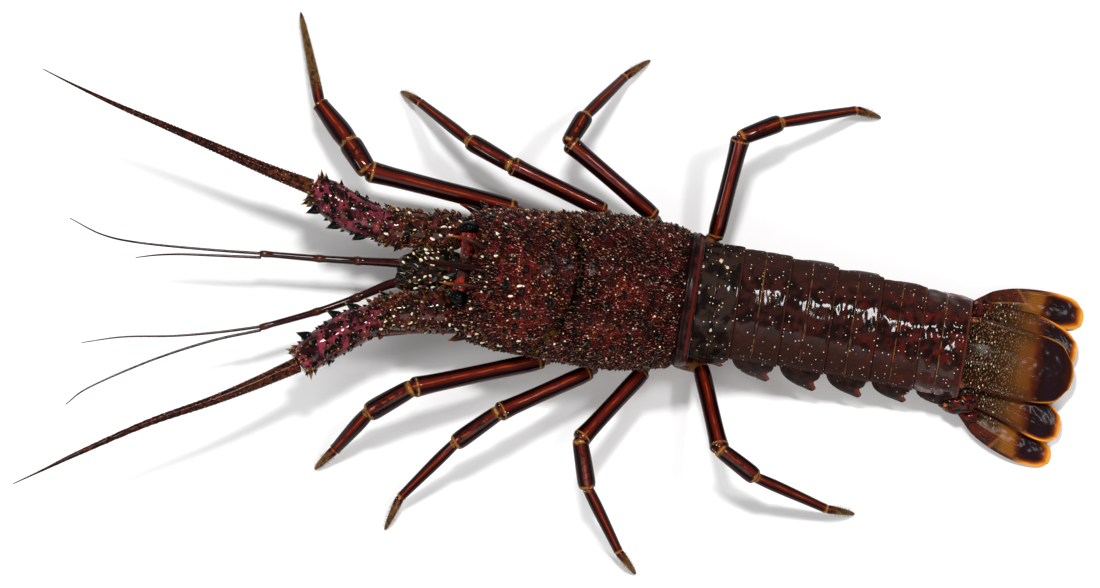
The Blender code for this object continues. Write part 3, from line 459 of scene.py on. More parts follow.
sockets = bpy.data.collections.new("sockets")
bpy.context.scene.collection.children.link(sockets)
for side, sign in SIDES.items():
    stem, globe = eye_path(sign, SOCKET_ROOM)
    path, radii = zip(*(stem[:2] + globe[3:]))
    rings, _ = tube_rings(path, radii, 24)
    room = new_piece("socket", *skin(rings), shell_skin)
    bpy.context.scene.collection.objects.unlink(room)
    sockets.objects.link(room)
    stem, globe = eye_path(sign, 0.0)
    for part_name, path, finish in (("stalk", stem, stalk_skin), ("globe", globe, cornea_skin)):
        points, radii = zip(*path)
        rings, _ = tube_rings(points, radii, 28)
        eye = new_piece("eye_%s_%s" % (side, part_name), *skin(rings), finish)
        fitted(eye, "eye", *(["eye_" + side] if part_name == "globe" else []))
cutter = carapace.modifiers.new("sockets", "BOOLEAN")
cutter.operation = "DIFFERENCE"
cutter.operand_type = "COLLECTION"
cutter.collection = sockets
cutter.solver = "EXACT"
graph = bpy.context.evaluated_depsgraph_get()
mesh = bpy.data.meshes.new_from_object(carapace.evaluated_get(graph))
carapace.modifiers.clear()
carapace.data = mesh
for room in list(sockets.objects):
    bpy.data.objects.remove(room)
bpy.data.collections.remove(sockets)


def neck_furrow(p):
    """How deep in the neck groove a point of the back lies."""
    line, sweep, _, width = NECK_GROOVE
    middle, half, _, _, wide = on_curve(SHELL_STATIONS, p.x)
    bend = min(abs(p.y - middle) / half, 1.0) ** SHELL_SQUARE
    return bell(p.x - line + sweep * bend, 1.2 * width) * smooth(p.z, wide, wide + 5.0)


spots = [(vertex.co - ORIGIN) / MM for vertex in mesh.vertices]
mesh.attributes.new("flush", "FLOAT", "POINT").data.foreach_set("value", [
    max(bell(math.hypot(p.x - px, p.y - py), size) for px, py, size in FLUSHES) for p in spots])
mesh.attributes.new("furrow", "FLOAT", "POINT").data.foreach_set("value", [neck_furrow(p) for p in spots])
fitted(carapace, "shell", "carapace")


# Horns. Two long curved spines of solid shell stand over the eyes and point forward,
# red-brown at the root and orange at the tip, with a smaller spine on each front corner.
HORNS = {
    "right": [(10.5, 5.6, 50.0), (5.0, 7.2, 53.0), (0.5, 8.3, 54.8), (-4.0, 8.5, 56.0), (-8.3, 8.1, 56.7)],
    "left": [(10.5, -9.0, 50.0), (5.0, -9.8, 53.0), (0.5, -10.2, 54.8), (-4.0, -10.6, 56.0),
             (-8.2, -10.8, 56.7)],
}
HORN_RADII = [2.2, 1.25, 0.85, 0.52, 0.10]
BROW = [(17.0, -3.9, 57.4, 1.1), (9.0, -2.9, 55.0, 1.3), (2.0, -2.2, 51.6, 1.15), (-5.0, -1.6, 47.2, 0.95),
        (-11.5, -1.3, 42.5, 0.7), (-14.0, -1.3, 40.0, 0.2)]
CORNER_SPINES = {
    "right": [(8.0, 21.0, 34.0), (4.3, 22.2, 34.5), (-0.6, 24.2, 35.4), (-5.0, 24.9, 36.0)],
    "left": [(9.5, -24.4, 34.0), (6.0, -26.0, 34.5), (2.0, -28.8, 35.4), (-1.2, -30.4, 36.0)],
}
CORNER_RADII = [3.0, 2.5, 1.3, 0.12]


def smooth_path(points, steps):
    """More points on a smooth curve through the given ones, evenly counted between them."""
    rows = [(float(i), *p) for i, p in enumerate(points)]
    count = (len(points) - 1) * steps
    return [on_curve(rows, i / steps) for i in range(count + 1)]


horn = Finish("horn_shell", specular_ior_level=0.0, coat_ior=1.22, coat_weight=0.7, coat_roughness=0.1)
_, _, along = horn.axes(horn.kept("lay"))
streak = horn.cloud(1.0, 3.0, spot=horn.stretched((4.0, 0.8, 0.8)))
colour = horn.ramp(along + 0.25 * (streak - 0.5), [
    (0.0, (0.004, 0.002, 0.0015)), (0.40, (0.020, 0.003, 0.002)), (0.70, (0.10, 0.013, 0.004)),
    (0.97, (0.34, 0.085, 0.013))])
horn_shell = horn.wear(base_color=colour, roughness=0.22 + 0.2 * streak,
                       normal=horn.relief(streak, 0.15))
path = smooth_path(BROW, 8)
rings, lay = tube_rings([p[:3] for p in path], [p[3] for p in path], 20, depth=0.8)
lay = [(c, up, 0.12 + 0.2 * t) for c, up, t in lay] + [(0.0, 0.0, 0.1), (0.0, 0.0, 0.3)]
fitted(new_piece("brow_ridge", *skin(rings), horn_shell, lay=lay), "shell")
for side in SIDES:
    for label, points, radii, depth in (("horn", HORNS, HORN_RADII, 1.35),
                                        ("corner_spine", CORNER_SPINES, CORNER_RADII, 0.8)):
        path = smooth_path([(*p, r) for p, r in zip(points[side], radii)], 6)
        rings, lay = tube_rings([p[:3] for p in path], [p[3] for p in path], 20, depth=depth)
        lay += [(0.0, 0.0, 0.0), (0.0, 0.0, 1.0)]
        if label == "corner_spine":
            lay = [(c, up, 0.9 * t ** 3) for c, up, t in lay]
        fitted(new_piece("%s_%s" % (label, side), *skin(rings), horn_shell, lay=lay), "shell")


# Spines of the back. Hundreds of forward thorns grow out of the shell, green-black and glossy with
# a yellow tip, the largest behind the horns. Geometry Nodes set one turned shape on every place.
BACK_ROWS = (9.0, 85.0, 5.6)
BACK_ANGLES = ((7.0, 30.0, 51.0, 70.0, 88.0), (18.0, 41.0, 61.0, 80.0))
BACK_STRAY = (1.0, 3.0)
BACK_LENGTHS = (1.9, 3.0)
BACK_WIDTH = 2.5
FLANK_SHRINK = 0.4
SPINE_LEAN = 0.75
SPINE_SPACING = 3.4
LARGE_SPINES = [(8.5, 48.8), (24.7, 17.6), (24.5, 30.5), (25.6, 1.3), (25.2, -13.0), (18.5, -10.1),
                (24.8, -31.3), (12.2, -38.2), (37.1, 2.3), (36.0, 23.0), (37.0, -19.3), (15.5, 33.5)]
LARGE_SPINE = (3.8, 3.3)
SIDE_SPINES = [(5.2, 27.0, 35.0), (11.8, 26.7, 36.0), (12.2, -29.7, 35.0), (31.0, -30.7, 33.0), (20.5, -30.8, 33.5)]


def graph_node(tree, kind, settings, sockets, output=0):
    """Add a Geometry Nodes node with its settings, then the values or links of its sockets."""
    node = tree.nodes.new(kind)
    for key, value in settings.items():
        setattr(node, key, value)
    for key, value in sockets.items():
        if isinstance(value, bpy.types.NodeSocket):
            tree.links.new(value, node.inputs[key])
        else:
            node.inputs[key].default_value = value
    return node.outputs[output]


def planting_tree(name, spread):
    """Tree that sets a shape on every point, or on places that it spreads over a surface."""
    tree = bpy.data.node_groups.new(name, "GeometryNodeTree")
    tree.is_modifier = True
    kinds = {"Geometry": "Geometry", "Shape": "Object", "Finish": "Material", "Seed": "Int"}
    if spread:
        kinds.update(Spacing="Float", Smallest="Float", Largest="Float", Lean="Vector", Stray="Float",
                     Slim="Float")
    for key, kind in kinds.items():
        tree.interface.new_socket(key, in_out="INPUT", socket_type="NodeSocket" + kind)
    tree.interface.new_socket("Geometry", in_out="OUTPUT", socket_type="NodeSocketGeometry")
    given = {socket.name: socket for socket in tree.nodes.new("NodeGroupInput").outputs if socket.name}
    seed = given["Seed"]
    if spread:
        cover = graph_node(tree, "GeometryNodeInputNamedAttribute", {"data_type": "FLOAT"}, {"Name": "cover"})
        points = graph_node(tree, "GeometryNodeDistributePointsOnFaces", {"distribute_method": "POISSON"},
                            {"Mesh": given["Geometry"], "Distance Min": given["Spacing"],
                             "Density Max": 1.0e8, "Density Factor": cover, "Seed": seed})
        normal = points.node.outputs["Normal"]
        stray = graph_node(tree, "FunctionNodeRandomValue", {"data_type": "FLOAT_VECTOR"},
                           {0: (-1.0, -1.0, -1.0), 1: (1.0, 1.0, 1.0), "Seed": seed})
        stray = graph_node(tree, "ShaderNodeVectorMath", {"operation": "SCALE"},
                           {0: stray, "Scale": given["Stray"]})
        lean = graph_node(tree, "ShaderNodeVectorMath", {"operation": "ADD"}, {0: normal, 1: given["Lean"]})
        lean = graph_node(tree, "ShaderNodeVectorMath", {"operation": "ADD"}, {0: lean, 1: stray})
        length = graph_node(tree, "FunctionNodeRandomValue", {"data_type": "FLOAT"},
                            {2: given["Smallest"], 3: given["Largest"], "Seed": seed}, 1)
        width = graph_node(tree, "ShaderNodeMath", {"operation": "MULTIPLY"}, {0: length, 1: given["Slim"]})
        size = graph_node(tree, "ShaderNodeCombineXYZ", {}, {0: width, 1: width, 2: length})
    else:
        points = given["Geometry"]
        lean = graph_node(tree, "GeometryNodeInputNamedAttribute", {"data_type": "FLOAT_VECTOR"},
                          {"Name": "lean"})
        size = graph_node(tree, "GeometryNodeInputNamedAttribute", {"data_type": "FLOAT_VECTOR"},
                          {"Name": "size"})
    turn = graph_node(tree, "FunctionNodeAlignRotationToVector", {"axis": "Z"}, {"Vector": lean})
    shape = graph_node(tree, "GeometryNodeObjectInfo", {}, {"Object": given["Shape"], "As Instance": True},
                       "Geometry")
    made = graph_node(tree, "GeometryNodeInstanceOnPoints", {},
                      {"Points": points, "Instance": shape, "Rotation": turn, "Scale": size})
    tone = graph_node(tree, "FunctionNodeRandomValue", {"data_type": "FLOAT"}, {2: 0.0, 3: 1.0, "Seed": seed}, 1)
    made = graph_node(tree, "GeometryNodeStoreNamedAttribute", {"data_type": "FLOAT", "domain": "INSTANCE"},
                      {"Geometry": made, "Name": "tone", "Value": tone})
    made = graph_node(tree, "GeometryNodeRealizeInstances", {}, {"Geometry": made})
    made = graph_node(tree, "GeometryNodeSetMaterial", {}, {"Geometry": made, "Material": given["Finish"]})
    tree.links.new(made, tree.nodes.new("NodeGroupOutput").inputs[0])
    return tree


def turned_shape(name, profile, sides):
    """Small shape turned about Z, from its height and radius, to be set out many times."""
    rings, tip = [], []
    for height, radius in profile:
        rings.append([(math.cos(2 * math.pi * j / sides) * radius, math.sin(2 * math.pi * j / sides) * radius,
                       height) for j in range(sides)])
        tip += [max(height, 0.0)] * sides
    points, faces = skin(rings)
    mesh = bpy.data.meshes.new(name)
    mesh.from_pydata(points, [], faces)
    mesh.attributes.new("tip", "FLOAT", "POINT").data.foreach_set("value", tip + [0.0, 1.0])
    shape = bmesh.new()
    shape.from_mesh(mesh)
    bmesh.ops.recalc_face_normals(shape, faces=shape.faces)
    shape.to_mesh(mesh)
    shape.free()
    mesh.shade_smooth()
    return bpy.data.objects.new(name, mesh)


def grown(name, host, tree, **inputs):
    """Run a tree on its host and keep the result as a plain mesh."""
    modifier = host.modifiers.new(name, "NODES")
    modifier.node_group = tree
    for item in tree.interface.items_tree:
        if item.in_out == "INPUT" and item.name in inputs:
            modifier[item.identifier] = inputs[item.name]
    graph = bpy.context.evaluated_depsgraph_get()
    mesh = bpy.data.meshes.new_from_object(host.evaluated_get(graph), preserve_all_data_layers=True,
                                           depsgraph=graph)
    host.modifiers.remove(modifier)
    mesh.name = name
    mesh.shade_smooth()
    piece = bpy.data.objects.new(name, mesh)
    bpy.context.scene.collection.objects.link(piece)
    return piece


def planted(name, places, shape, finish, seed):
    """Piece with the shape on each place: its spot, its direction, its width and its length."""
    spots, leans, sizes = [], [], []
    for spot, lean, width, length in places:
        spots.append(spot)
        leans.append(lean)
        sizes.append((width / 2 * MM, width / 2 * MM, length * MM))
    host = new_piece(name + "_places", spots, [], None, lean=leans, size=sizes)
    piece = grown(name, host, set_out, Shape=shape, Finish=finish, Seed=seed)
    bpy.data.objects.remove(host)
    return piece


def shell_outward(x, angle):
    """Direction straight out of the back shell."""
    ahead = shell_spot(x + 0.5, angle, False) - shell_spot(x - 0.5, angle, False)
    around = shell_spot(x, angle + 0.03, False) - shell_spot(x, angle - 0.03, False)
    return ahead.cross(around).normalized()


set_out = planting_tree("set_out", False)
spread_out = planting_tree("spread_out", True)
thorn_shape = turned_shape("thorn_shape", [(-0.35, 1.0), (0.08, 0.97), (0.35, 0.74), (0.66, 0.38), (1.0, 0.04)], 8)
boss_shape = turned_shape("boss_shape", [(-0.35, 1.0), (0.0, 1.05), (0.2, 1.0), (0.4, 0.84), (0.58, 0.60),
                                         (0.74, 0.33), (0.88, 0.14), (1.0, 0.04)], 12)
thorn = Finish("thorn_shell", specular_ior_level=0.0, coat_ior=1.2, coat_weight=1.0, coat_roughness=0.05)
tip = thorn.kept("tip", "Fac")
tone = thorn.kept("tone", "Fac")
body = thorn.mix(thorn.fade(tone, 0.55, 0.8), (0.0016, 0.0030, 0.0026), (0.0080, 0.0020, 0.0026))
colour = thorn.mix(thorn.fade(tip, 0.10, 0.0), body, (0.080, 0.014, 0.010))
colour = thorn.mix(thorn.fade(tip, 0.76, 1.0), colour, (0.42, 0.19, 0.045))
thorn_shell = thorn.wear(base_color=colour, roughness=0.12 + 0.12 * thorn.cloud(0.6, 2.0),
                         normal=thorn.relief(thorn.cloud(0.5, 2.0), 0.05))

random.seed(11)
places, taken = [], []
for px, around in LARGE_SPINES:
    angle = math.radians(around)
    taken.append(shell_spot(px, angle))
    places.append((taken[-1], shell_outward(px, angle) + FORWARD * SPINE_LEAN, *LARGE_SPINE))
for px, py, pz in SIDE_SPINES:
    places.append((Vector((px, py * 0.955, pz)), Vector((-1.2, math.copysign(1.0, py), 0.1)), 2.4, 3.2))
first, last, pitch = BACK_ROWS
eye_spots = [Vector((EYE_CENTRE[0], EYE_CENTRE[1] * sign, EYE_CENTRE[2])) for sign in SIDES.values()]
for row in range(int((last - first) / pitch) + 1):
    for around in BACK_ANGLES[row % 2]:
        for sign in (1, -1):
            px = first + row * pitch + random.uniform(-1, 1) * BACK_STRAY[0]
            angle = math.radians(sign * around + random.uniform(-1, 1) * BACK_STRAY[1])
            length = random.uniform(*BACK_LENGTHS)
            spot = shell_spot(px, angle)
            if min((spot - other).length for other in taken) < SPINE_SPACING:
                continue
            if min((spot - other).length for other in eye_spots) < 8.0:
                continue
            taken.append(spot)
            size = 1.0 - FLANK_SHRINK * smooth(around, 55.0, 75.0)
            places.append((spot, shell_outward(px, angle) + FORWARD * SPINE_LEAN,
                           BACK_WIDTH * random.uniform(0.85, 1.15) * size, length * size))
fitted(planted("back_thorns", places, boss_shape, thorn_shell, 3), "shell")


# Grain of the back. Between the spines the shell is rough with small thorns, pearls of dark,
# rust and cream shell, and short pale bristles that lie forward. All are spread over the skin.
SMALL_THORNS = (3.3, 0.8, 1.3, 0.5)
PEARLS = (1.0, 0.28, 0.52, 0.85)
PEARL_SPLIT = 44.0
SPECKS = (4.6, 0.4, 1.0, 0.46)
BRISTLES = (1.35, 0.7, 1.4, 0.10)
FRONT_COMMAS = (5.4, 0.9, 2.3, 0.28)
NUBS = (4.6, 1.0, 1.9, 0.60)
NECK_HAIRS = (0.8, 0.8, 1.6, 0.06)


def with_cover(piece, share):
    """Give a surface the share of growth at each of its points."""
    mesh = piece.data
    values = [share((vertex.co - ORIGIN) / MM) for vertex in mesh.vertices]
    layer = mesh.attributes.get("cover") or mesh.attributes.new("cover", "FLOAT", "POINT")
    layer.data.foreach_set("value", values)


def sown(name, host, shape, finish, sizes, lean, stray, seed):
    """Piece spread over a surface: spacing, smallest and largest length in millimetres, slimness."""
    spacing, smallest, largest, slim = sizes
    return grown(name, host, spread_out, Shape=shape, Finish=finish, Seed=seed, Spacing=spacing * MM,
                 Smallest=smallest * MM, Largest=largest * MM, Slim=slim, Lean=lean, Stray=stray)


def patchy(p):
    """Cream specks come in loose groups."""
    return smooth(noise.noise(p / 6.0), -0.15, 0.25)


nub_shape = turned_shape("nub_shape", [(-0.3, 1.0), (0.2, 0.95), (0.6, 0.65), (0.92, 0.2)], 8)
pearl_shape = turned_shape("pearl_shape", [(-0.4, 0.9), (0.25, 0.85), (0.75, 0.5)], 5)
bristle_shape = turned_shape("bristle_shape", [(-0.1, 1.0), (0.55, 0.7), (1.0, 0.05)], 3)
comma_shape = turned_shape("comma_shape", [(-0.5, 0.4), (-0.3, 0.85), (0.0, 1.0), (0.3, 0.85), (0.5, 0.4)], 6)
for vertex in comma_shape.data.vertices:
    vertex.co.x += 2.4 * vertex.co.z ** 2
cream = Finish("cream_spot", specular_ior_level=0.1, coat_ior=1.32, coat_weight=0.6, coat_roughness=0.15)
cream_spot = cream.wear(base_color=cream.mix(cream.kept("tone", "Fac"), (0.50, 0.36, 0.18), (0.88, 0.78, 0.58)),
                        roughness=0.25 + 0.2 * cream.cloud(1.0, 1.0))
pearl = Finish("pearl_shell", specular_ior_level=0.0, coat_ior=1.17, coat_weight=0.8, coat_roughness=0.1)
tone = pearl.kept("tone", "Fac")
patch = pearl.fade(pearl.cloud(6.0, 4.0), 0.44, 0.62)
colour = pearl.ramp(tone, [(0.0, (0.0020, 0.0014, 0.0010)), (0.40, (0.0070, 0.0024, 0.0018)),
                           (0.62, (0.040, 0.0060, 0.0052)), (0.82, (0.115, 0.020, 0.014)),
                           (0.94, (0.31, 0.105, 0.072)), (0.985, (0.62, 0.43, 0.28))])
colour = pearl.mix(patch * 0.35, colour, (0.070, 0.004, 0.009))
# Painted shade: the same dark patches as on the shell.
painted_shade_patch = pearl.fade(pearl.cloud(7.0, 3.0, 71.0), 0.48, 0.60)
colour = pearl.mix(painted_shade_patch * 0.55, colour, (0.0060, 0.0032, 0.0024))
pearl_shell = pearl.wear(base_color=colour, roughness=0.2 + 0.2 * pearl.cloud(2.0, 1.0))
bristle = Finish("bristle", specular_ior_level=0.1, roughness=0.45)
colour = bristle.ramp(bristle.kept("tone", "Fac"), [
    (0.0, (0.012, 0.003, 0.002)), (0.35, (0.080, 0.018, 0.014)), (0.6, (0.26, 0.080, 0.056)),
    (0.82, (0.48, 0.23, 0.16)), (0.96, (0.76, 0.54, 0.40))])
# Painted shade: the same dark patches as on the shell.
painted_shade_patch = bristle.fade(bristle.cloud(7.0, 3.0, 71.0), 0.48, 0.60)
bristle_hair = bristle.wear(base_color=bristle.mix(painted_shade_patch * 0.4, colour, (0.016, 0.007, 0.005)))


nub = Finish("nub_shell", specular_ior_level=0.0, coat_ior=1.25, coat_weight=1.0, coat_roughness=0.06)
colour = nub.ramp(nub.kept("tone", "Fac"), [
    (0.0, (0.0020, 0.0018, 0.0015)), (0.40, (0.0070, 0.0026, 0.0022)), (0.60, (0.055, 0.004, 0.005)),
    (0.80, (0.090, 0.009, 0.007)), (0.95, (0.080, 0.024, 0.006))])
nub_shell = nub.wear(base_color=colour, roughness=0.2 + 0.15 * nub.cloud(1.0, 2.0),
                     normal=nub.relief(nub.cloud(0.6, 2.0), 0.08))


def back_cover(p):
    """Growth stops at the smooth rim, in the eye sockets and in the neck groove, and low on the flanks."""
    room = min((p - spot).length for spot in eye_spots)
    return (smooth(p.z, 23.0, 27.0) * smooth(p.x, 89.5, 87.8) * smooth(p.x, -1.0, 0.5) * smooth(room, 5.0, 6.5)
            * (1 - min(1.0, 1.3 * neck_furrow(p))))


gold = Finish("golden_hair", specular_ior_level=0.15, roughness=0.38)
gold_hair = gold.wear(base_color=gold.mix(gold.kept("tone", "Fac"), (0.05, 0.022, 0.006), (0.32, 0.17, 0.045)))
with_cover(carapace, back_cover)
fitted(sown("small_thorns", carapace, thorn_shape, thorn_shell, SMALL_THORNS, FORWARD * 0.6, 0.15, 5), "shell")
for label, head_side in (("front", True), ("rear", False)):
    with_cover(carapace, lambda p: back_cover(p) * ((p.x < PEARL_SPLIT) == head_side))
    fitted(sown("pearls_" + label, carapace, pearl_shape, pearl_shell, PEARLS, Vector(), 0.1, 6), "shell")
with_cover(carapace, back_cover)
fitted(sown("back_bristles", carapace, bristle_shape, bristle_hair, BRISTLES, FORWARD * 2.2, 0.5, 7), "shell")
with_cover(carapace, lambda p: back_cover(p) * patchy(p))
fitted(sown("cream_specks", carapace, comma_shape, cream_spot, SPECKS, FORWARD * 1.0, 2.0, 4), "shell")
with_cover(carapace, lambda p: back_cover(p) * smooth(p.x, 24.0, 8.0))
fitted(sown("front_nubs", carapace, nub_shape, nub_shell, NUBS, FORWARD * 0.3, 0.2, 17), "shell")
with_cover(carapace, lambda p: back_cover(p) * smooth(p.x, 46.0, 24.0) * patchy(p))
fitted(sown("cream_commas", carapace, comma_shape, cream_spot, FRONT_COMMAS, FORWARD * 2.5, 1.2, 15), "shell")
with_cover(carapace, lambda p: neck_furrow(p) * (noise.noise(p / 3.0) > -0.1))
fitted(sown("neck_hair", carapace, bristle_shape, gold_hair, NECK_HAIRS, FORWARD * 0.8, 0.9, 16), "shell")


# Plate between the antennae. A broad saddle of shell carries the two small feelers,
# nearly black, with cream commas, two strong thorns and a fringe of golden hair.
PLATE = [(-1.8, -0.4, 32.0, 5.6, 8.0), (-6.0, -0.9, 31.6, 6.4, 7.4), (-14.0, -2.5, 30.0, 7.2, 6.4),
         (-21.0, -4.1, 28.6, 7.8, 5.0), (-26.5, -4.9, 27.6, 8.0, 3.4)]
PLATE_THORNS = [(-6.5, 3.0), (-6.5, -3.0), (-15.0, 1.5), (-15.0, -6.0)]
PLATE_THORN = (2.6, 3.4)
COMMAS = (2.3, 0.9, 2.4, 0.27)
HAIRS = (2.6, 1.8, 3.6, 0.04)
PLATE_NUBS = (4.2, 0.9, 1.6, 0.7)

plate = Finish("plate_shell", specular_ior_level=0.0, coat_ior=1.35, coat_weight=1.0, coat_roughness=0.07)
olive = plate.fade(plate.cloud(4.0, 3.0), 0.45, 0.65)
colour = plate.mix(olive, (0.0022, 0.0016, 0.0014), (0.018, 0.0112, 0.0034))
plate_shell = plate.wear(base_color=colour, roughness=0.22 + 0.25 * plate.cloud(1.5, 2.0),
                         normal=plate.relief(plate.cloud(1.0, 3.0), 0.5))

rows = [(-px, *rest) for px, *rest in PLATE]
rings = []
for i in range(60):
    px = 1.8 + (26.5 - 1.8) * i / 59
    middle, height, half, rise = on_curve(rows, px)
    dome = math.sqrt(1.0 - 0.96 * max(0.0, (px - 19.5) / 7.0) ** 2)
    half = half * (0.45 + 0.55 * dome) + 1.7 * bell(px - 11.0, 8.0)
    rise *= dome
    ring = []
    for j in range(72):
        angle = 2 * math.pi * j / 72
        across, up = section_point(half, rise, -rise, 0.0, 2.4, angle)
        dip = 0.8 * bell(across, 1.6) * max(0.0, math.cos(angle))
        lump = 0.5 * noise.noise(Vector((px, across, up)) / 3.0)
        back = smooth(px, 17.0, 26.5) * 4.5 * bell(across, 2.2)
        ring.append(Vector((back - px, middle + across * (1 + 0.03 * lump), height + up - dip + lump * 0.5)))
    rings.append(ring)
front = Vector((-25.8, -4.9, 27.6))
rings += drawn_in(rings[-1], (0.12, 0.4, 0.75), front)
plate_piece = new_piece("feeler_plate", *skin(rings), plate_shell)
with_cover(plate_piece, lambda p: smooth(p.z, 29.0, 32.0) * smooth(p.x, -1.5, -4.0))
places = []
for px, across in PLATE_THORNS:
    middle, height, half, rise = on_curve(rows, -px)
    places.append((Vector((px, middle + across, height + rise * 0.9)), Vector((-0.9, across * 0.08, 1.0)),
                   *PLATE_THORN))
fitted(planted("plate_thorns", places, thorn_shape, thorn_shell, 8), "shell")
fitted(sown("plate_hair", plate_piece, bristle_shape, gold_hair, HAIRS, FORWARD * 1.6, 0.8, 10), "shell")
fitted(sown("plate_nubs", plate_piece, nub_shape, nub_shell, PLATE_NUBS, FORWARD * 0.5, 0.3, 18), "shell")
with_cover(plate_piece, lambda p: smooth(p.z, 29.0, 32.0) * smooth(p.x, -1.5, -4.0) * patchy(p))
fitted(sown("plate_commas", plate_piece, comma_shape, cream_spot, COMMAS, FORWARD * 3.0, 2.0, 9), "shell")
fitted(plate_piece, "shell", "antennular_plate")


# Antenna stalks. Three stout pieces of pink and wine-red shell on each side, jointed end to end,
# carry rows of black thorns with yellow tips and a crown of them round the whip's socket.
ANTENNA_STALK = {
    "right": [(-1.3, 14.2, 32.0, 6.2), (-7.0, 14.0, 32.3, 7.5), (-15.0, 13.2, 32.6, 7.3),
              (-27.0, 11.8, 33.4, 7.4), (-35.0, 11.9, 34.0, 7.3), (-48.0, 15.2, 35.0, 7.7),
              (-58.0, 19.5, 35.8, 7.0), (-64.6, 22.2, 36.2, 5.6)],
    "left": [(-1.3, -16.6, 32.0, 7.4), (-7.0, -18.8, 32.3, 8.3), (-15.0, -19.8, 32.6, 8.0),
             (-25.0, -22.4, 33.4, 6.9), (-32.0, -26.2, 34.0, 7.1), (-43.0, -33.8, 35.0, 7.4),
             (-53.0, -43.0, 35.8, 6.7), (-58.6, -49.2, 36.2, 5.5)],
}
STALK_SPLITS = (2, 4)
STALK_BOSSES = {
    "right": [(-41.8, 16.2), (-43.8, 9.4), (-54.8, 13.7), (-56.5, 22.0), (-58.6, 18.5), (-49.0, 19.0),
              (-33.8, 9.4), (-30.0, 14.5), (-17.7, 13.0), (-24.0, 8.5), (-48.5, 13.0), (-10.5, 16.0)],
    "left": [(-34.8, -25.3), (-32.1, -31.2), (-41.3, -29.5), (-48.0, -43.6), (-54.4, -41.5), (-44.5, -38.5),
             (-26.4, -24.9), (-20.0, -18.5), (-38.5, -35.5), (-49.5, -37.5), (-11.0, -17.5)],
}
STALK_BOSS = (2.9, 2.2)
STALK_THORNS = {
    "base": [(0.62, 35.0, 2.0), (0.45, 80.0, 2.4), (0.75, 100.0, 2.8), (0.7, 140.0, 2.4)],
    "mid": [(0.3, 20.0, 2.0), (0.72, 45.0, 2.6), (0.4, 85.0, 3.0), (0.85, 110.0, 3.6),
            (0.6, 170.0, 3.8), (0.85, 75.0, 2.8), (0.45, 130.0, 2.8), (0.88, 10.0, 2.2)],
    "end": [(0.1, 15.0, 2.2), (0.2, 65.0, 3.0), (0.42, 20.0, 2.2), (0.36, 115.0, 3.6),
            (0.58, 60.0, 3.6), (0.7, 10.0, 2.6), (0.72, 110.0, 3.8), (0.86, 45.0, 3.2),
            (0.16, 128.0, 3.0), (0.44, 78.0, 3.0), (0.86, 88.0, 3.0), (0.55, 140.0, 3.2)],
}
INNER_THORNS = {"right": (0.18, 0.49, 0.8), "left": (0.14, 0.35, 0.74)}
INNER_THORN = (170.0, 5.0, 4.4)
CROWNS = [(11, 0.955, 3.2, 1.8), (9, 0.90, 2.6, 1.7)]
THORN_SLIM = 0.74

rosy = Finish("stalk_shell", specular_ior_level=0.0, coat_ior=1.27, coat_weight=1.0, coat_roughness=0.07)
across, up, along = rosy.axes(rosy.kept("lay"))
px, _, _ = rosy.axes(rosy.spot)
blotch = rosy.fade(rosy.cloud(6.0, 4.0, warp=0.6), 0.42, 0.60)
edge = rosy.fade(up, 0.75, 0.25)
bruise = rosy.fade(rosy.cloud(2.4, 3.0, 55.0), 0.46, 0.60)
pink = rosy.mix(bruise * 0.6, (0.215, 0.024, 0.046), (0.042, 0.006, 0.013))
pink = rosy.mix(blotch, (0.012, 0.0025, 0.004), pink)
amber = rosy.fade(rosy.cloud(2.4, 3.0, 30.0), 0.56, 0.68)
colour = rosy.mix(amber * 0.7, pink, (0.16, 0.040, 0.008))
colour = rosy.mix(edge * 0.75, colour, rosy.mix(rosy.fade(rosy.cloud(3.0, 2.0, 70.0), 0.4, 0.6),
                                                (0.006, 0.003, 0.002), (0.044, 0.013, 0.004)))
root = rosy.fade(px + 10.0 * (rosy.cloud(7.0, 3.0, 90.0) - 0.5), -34.0, -26.0)
patches = rosy.ramp(rosy.cloud(4.5, 4.0, 15.0, warp=0.8), [
    (0.34, (0.0025, 0.0020, 0.0015)), (0.46, (0.014, 0.005, 0.003)), (0.52, (0.060, 0.008, 0.004)),
    (0.58, (0.015, 0.005, 0.003)), (0.66, (0.11, 0.012, 0.018)), (0.74, (0.20, 0.070, 0.012))])
colour = rosy.mix(root * 0.92, colour, patches)
fleck = (1 - rosy.fade(rosy.cells(1.5), 0.10, 0.26)) * rosy.fade(rosy.cells(1.5, output="Color")[0], 0.62, 0.66)
colour = rosy.mix(fleck, colour, (0.72, 0.50, 0.26))
height = rosy.cloud(0.9, 3.0) + fleck * 0.5
rosy_shell = rosy.wear(base_color=colour, roughness=0.22 + 0.26 * rosy.cloud(1.6, 2.0),
                       normal=rosy.relief(height, 0.50))
golden = Finish("golden_thorn", specular_ior_level=0.0, coat_ior=1.22, coat_weight=0.7, coat_roughness=0.1)
colour = golden.ramp(golden.kept("tip", "Fac") + 0.3 * (golden.cloud(0.8, 2.0) - 0.5), [
    (0.0, (0.010, 0.004, 0.002)), (0.40, (0.040, 0.017, 0.004)), (0.95, (0.42, 0.22, 0.05))])
gold_thorn = golden.wear(base_color=colour, roughness=0.25 + 0.2 * golden.cloud(1.0, 2.0))
SMALL_STALK_THORNS = {"base": (3.9, 1.3, 2.3, 0.40), "mid": (3.9, 1.3, 2.3, 0.40), "end": (4.8, 0.9, 1.7, 0.5)}
STALK_HAIRS = (2.6, 1.4, 2.8, 0.045)
STALK_COMMAS = (3.6, 0.8, 2.0, 0.30)
STALK_NUBS = (4.4, 0.9, 1.8, 0.66)

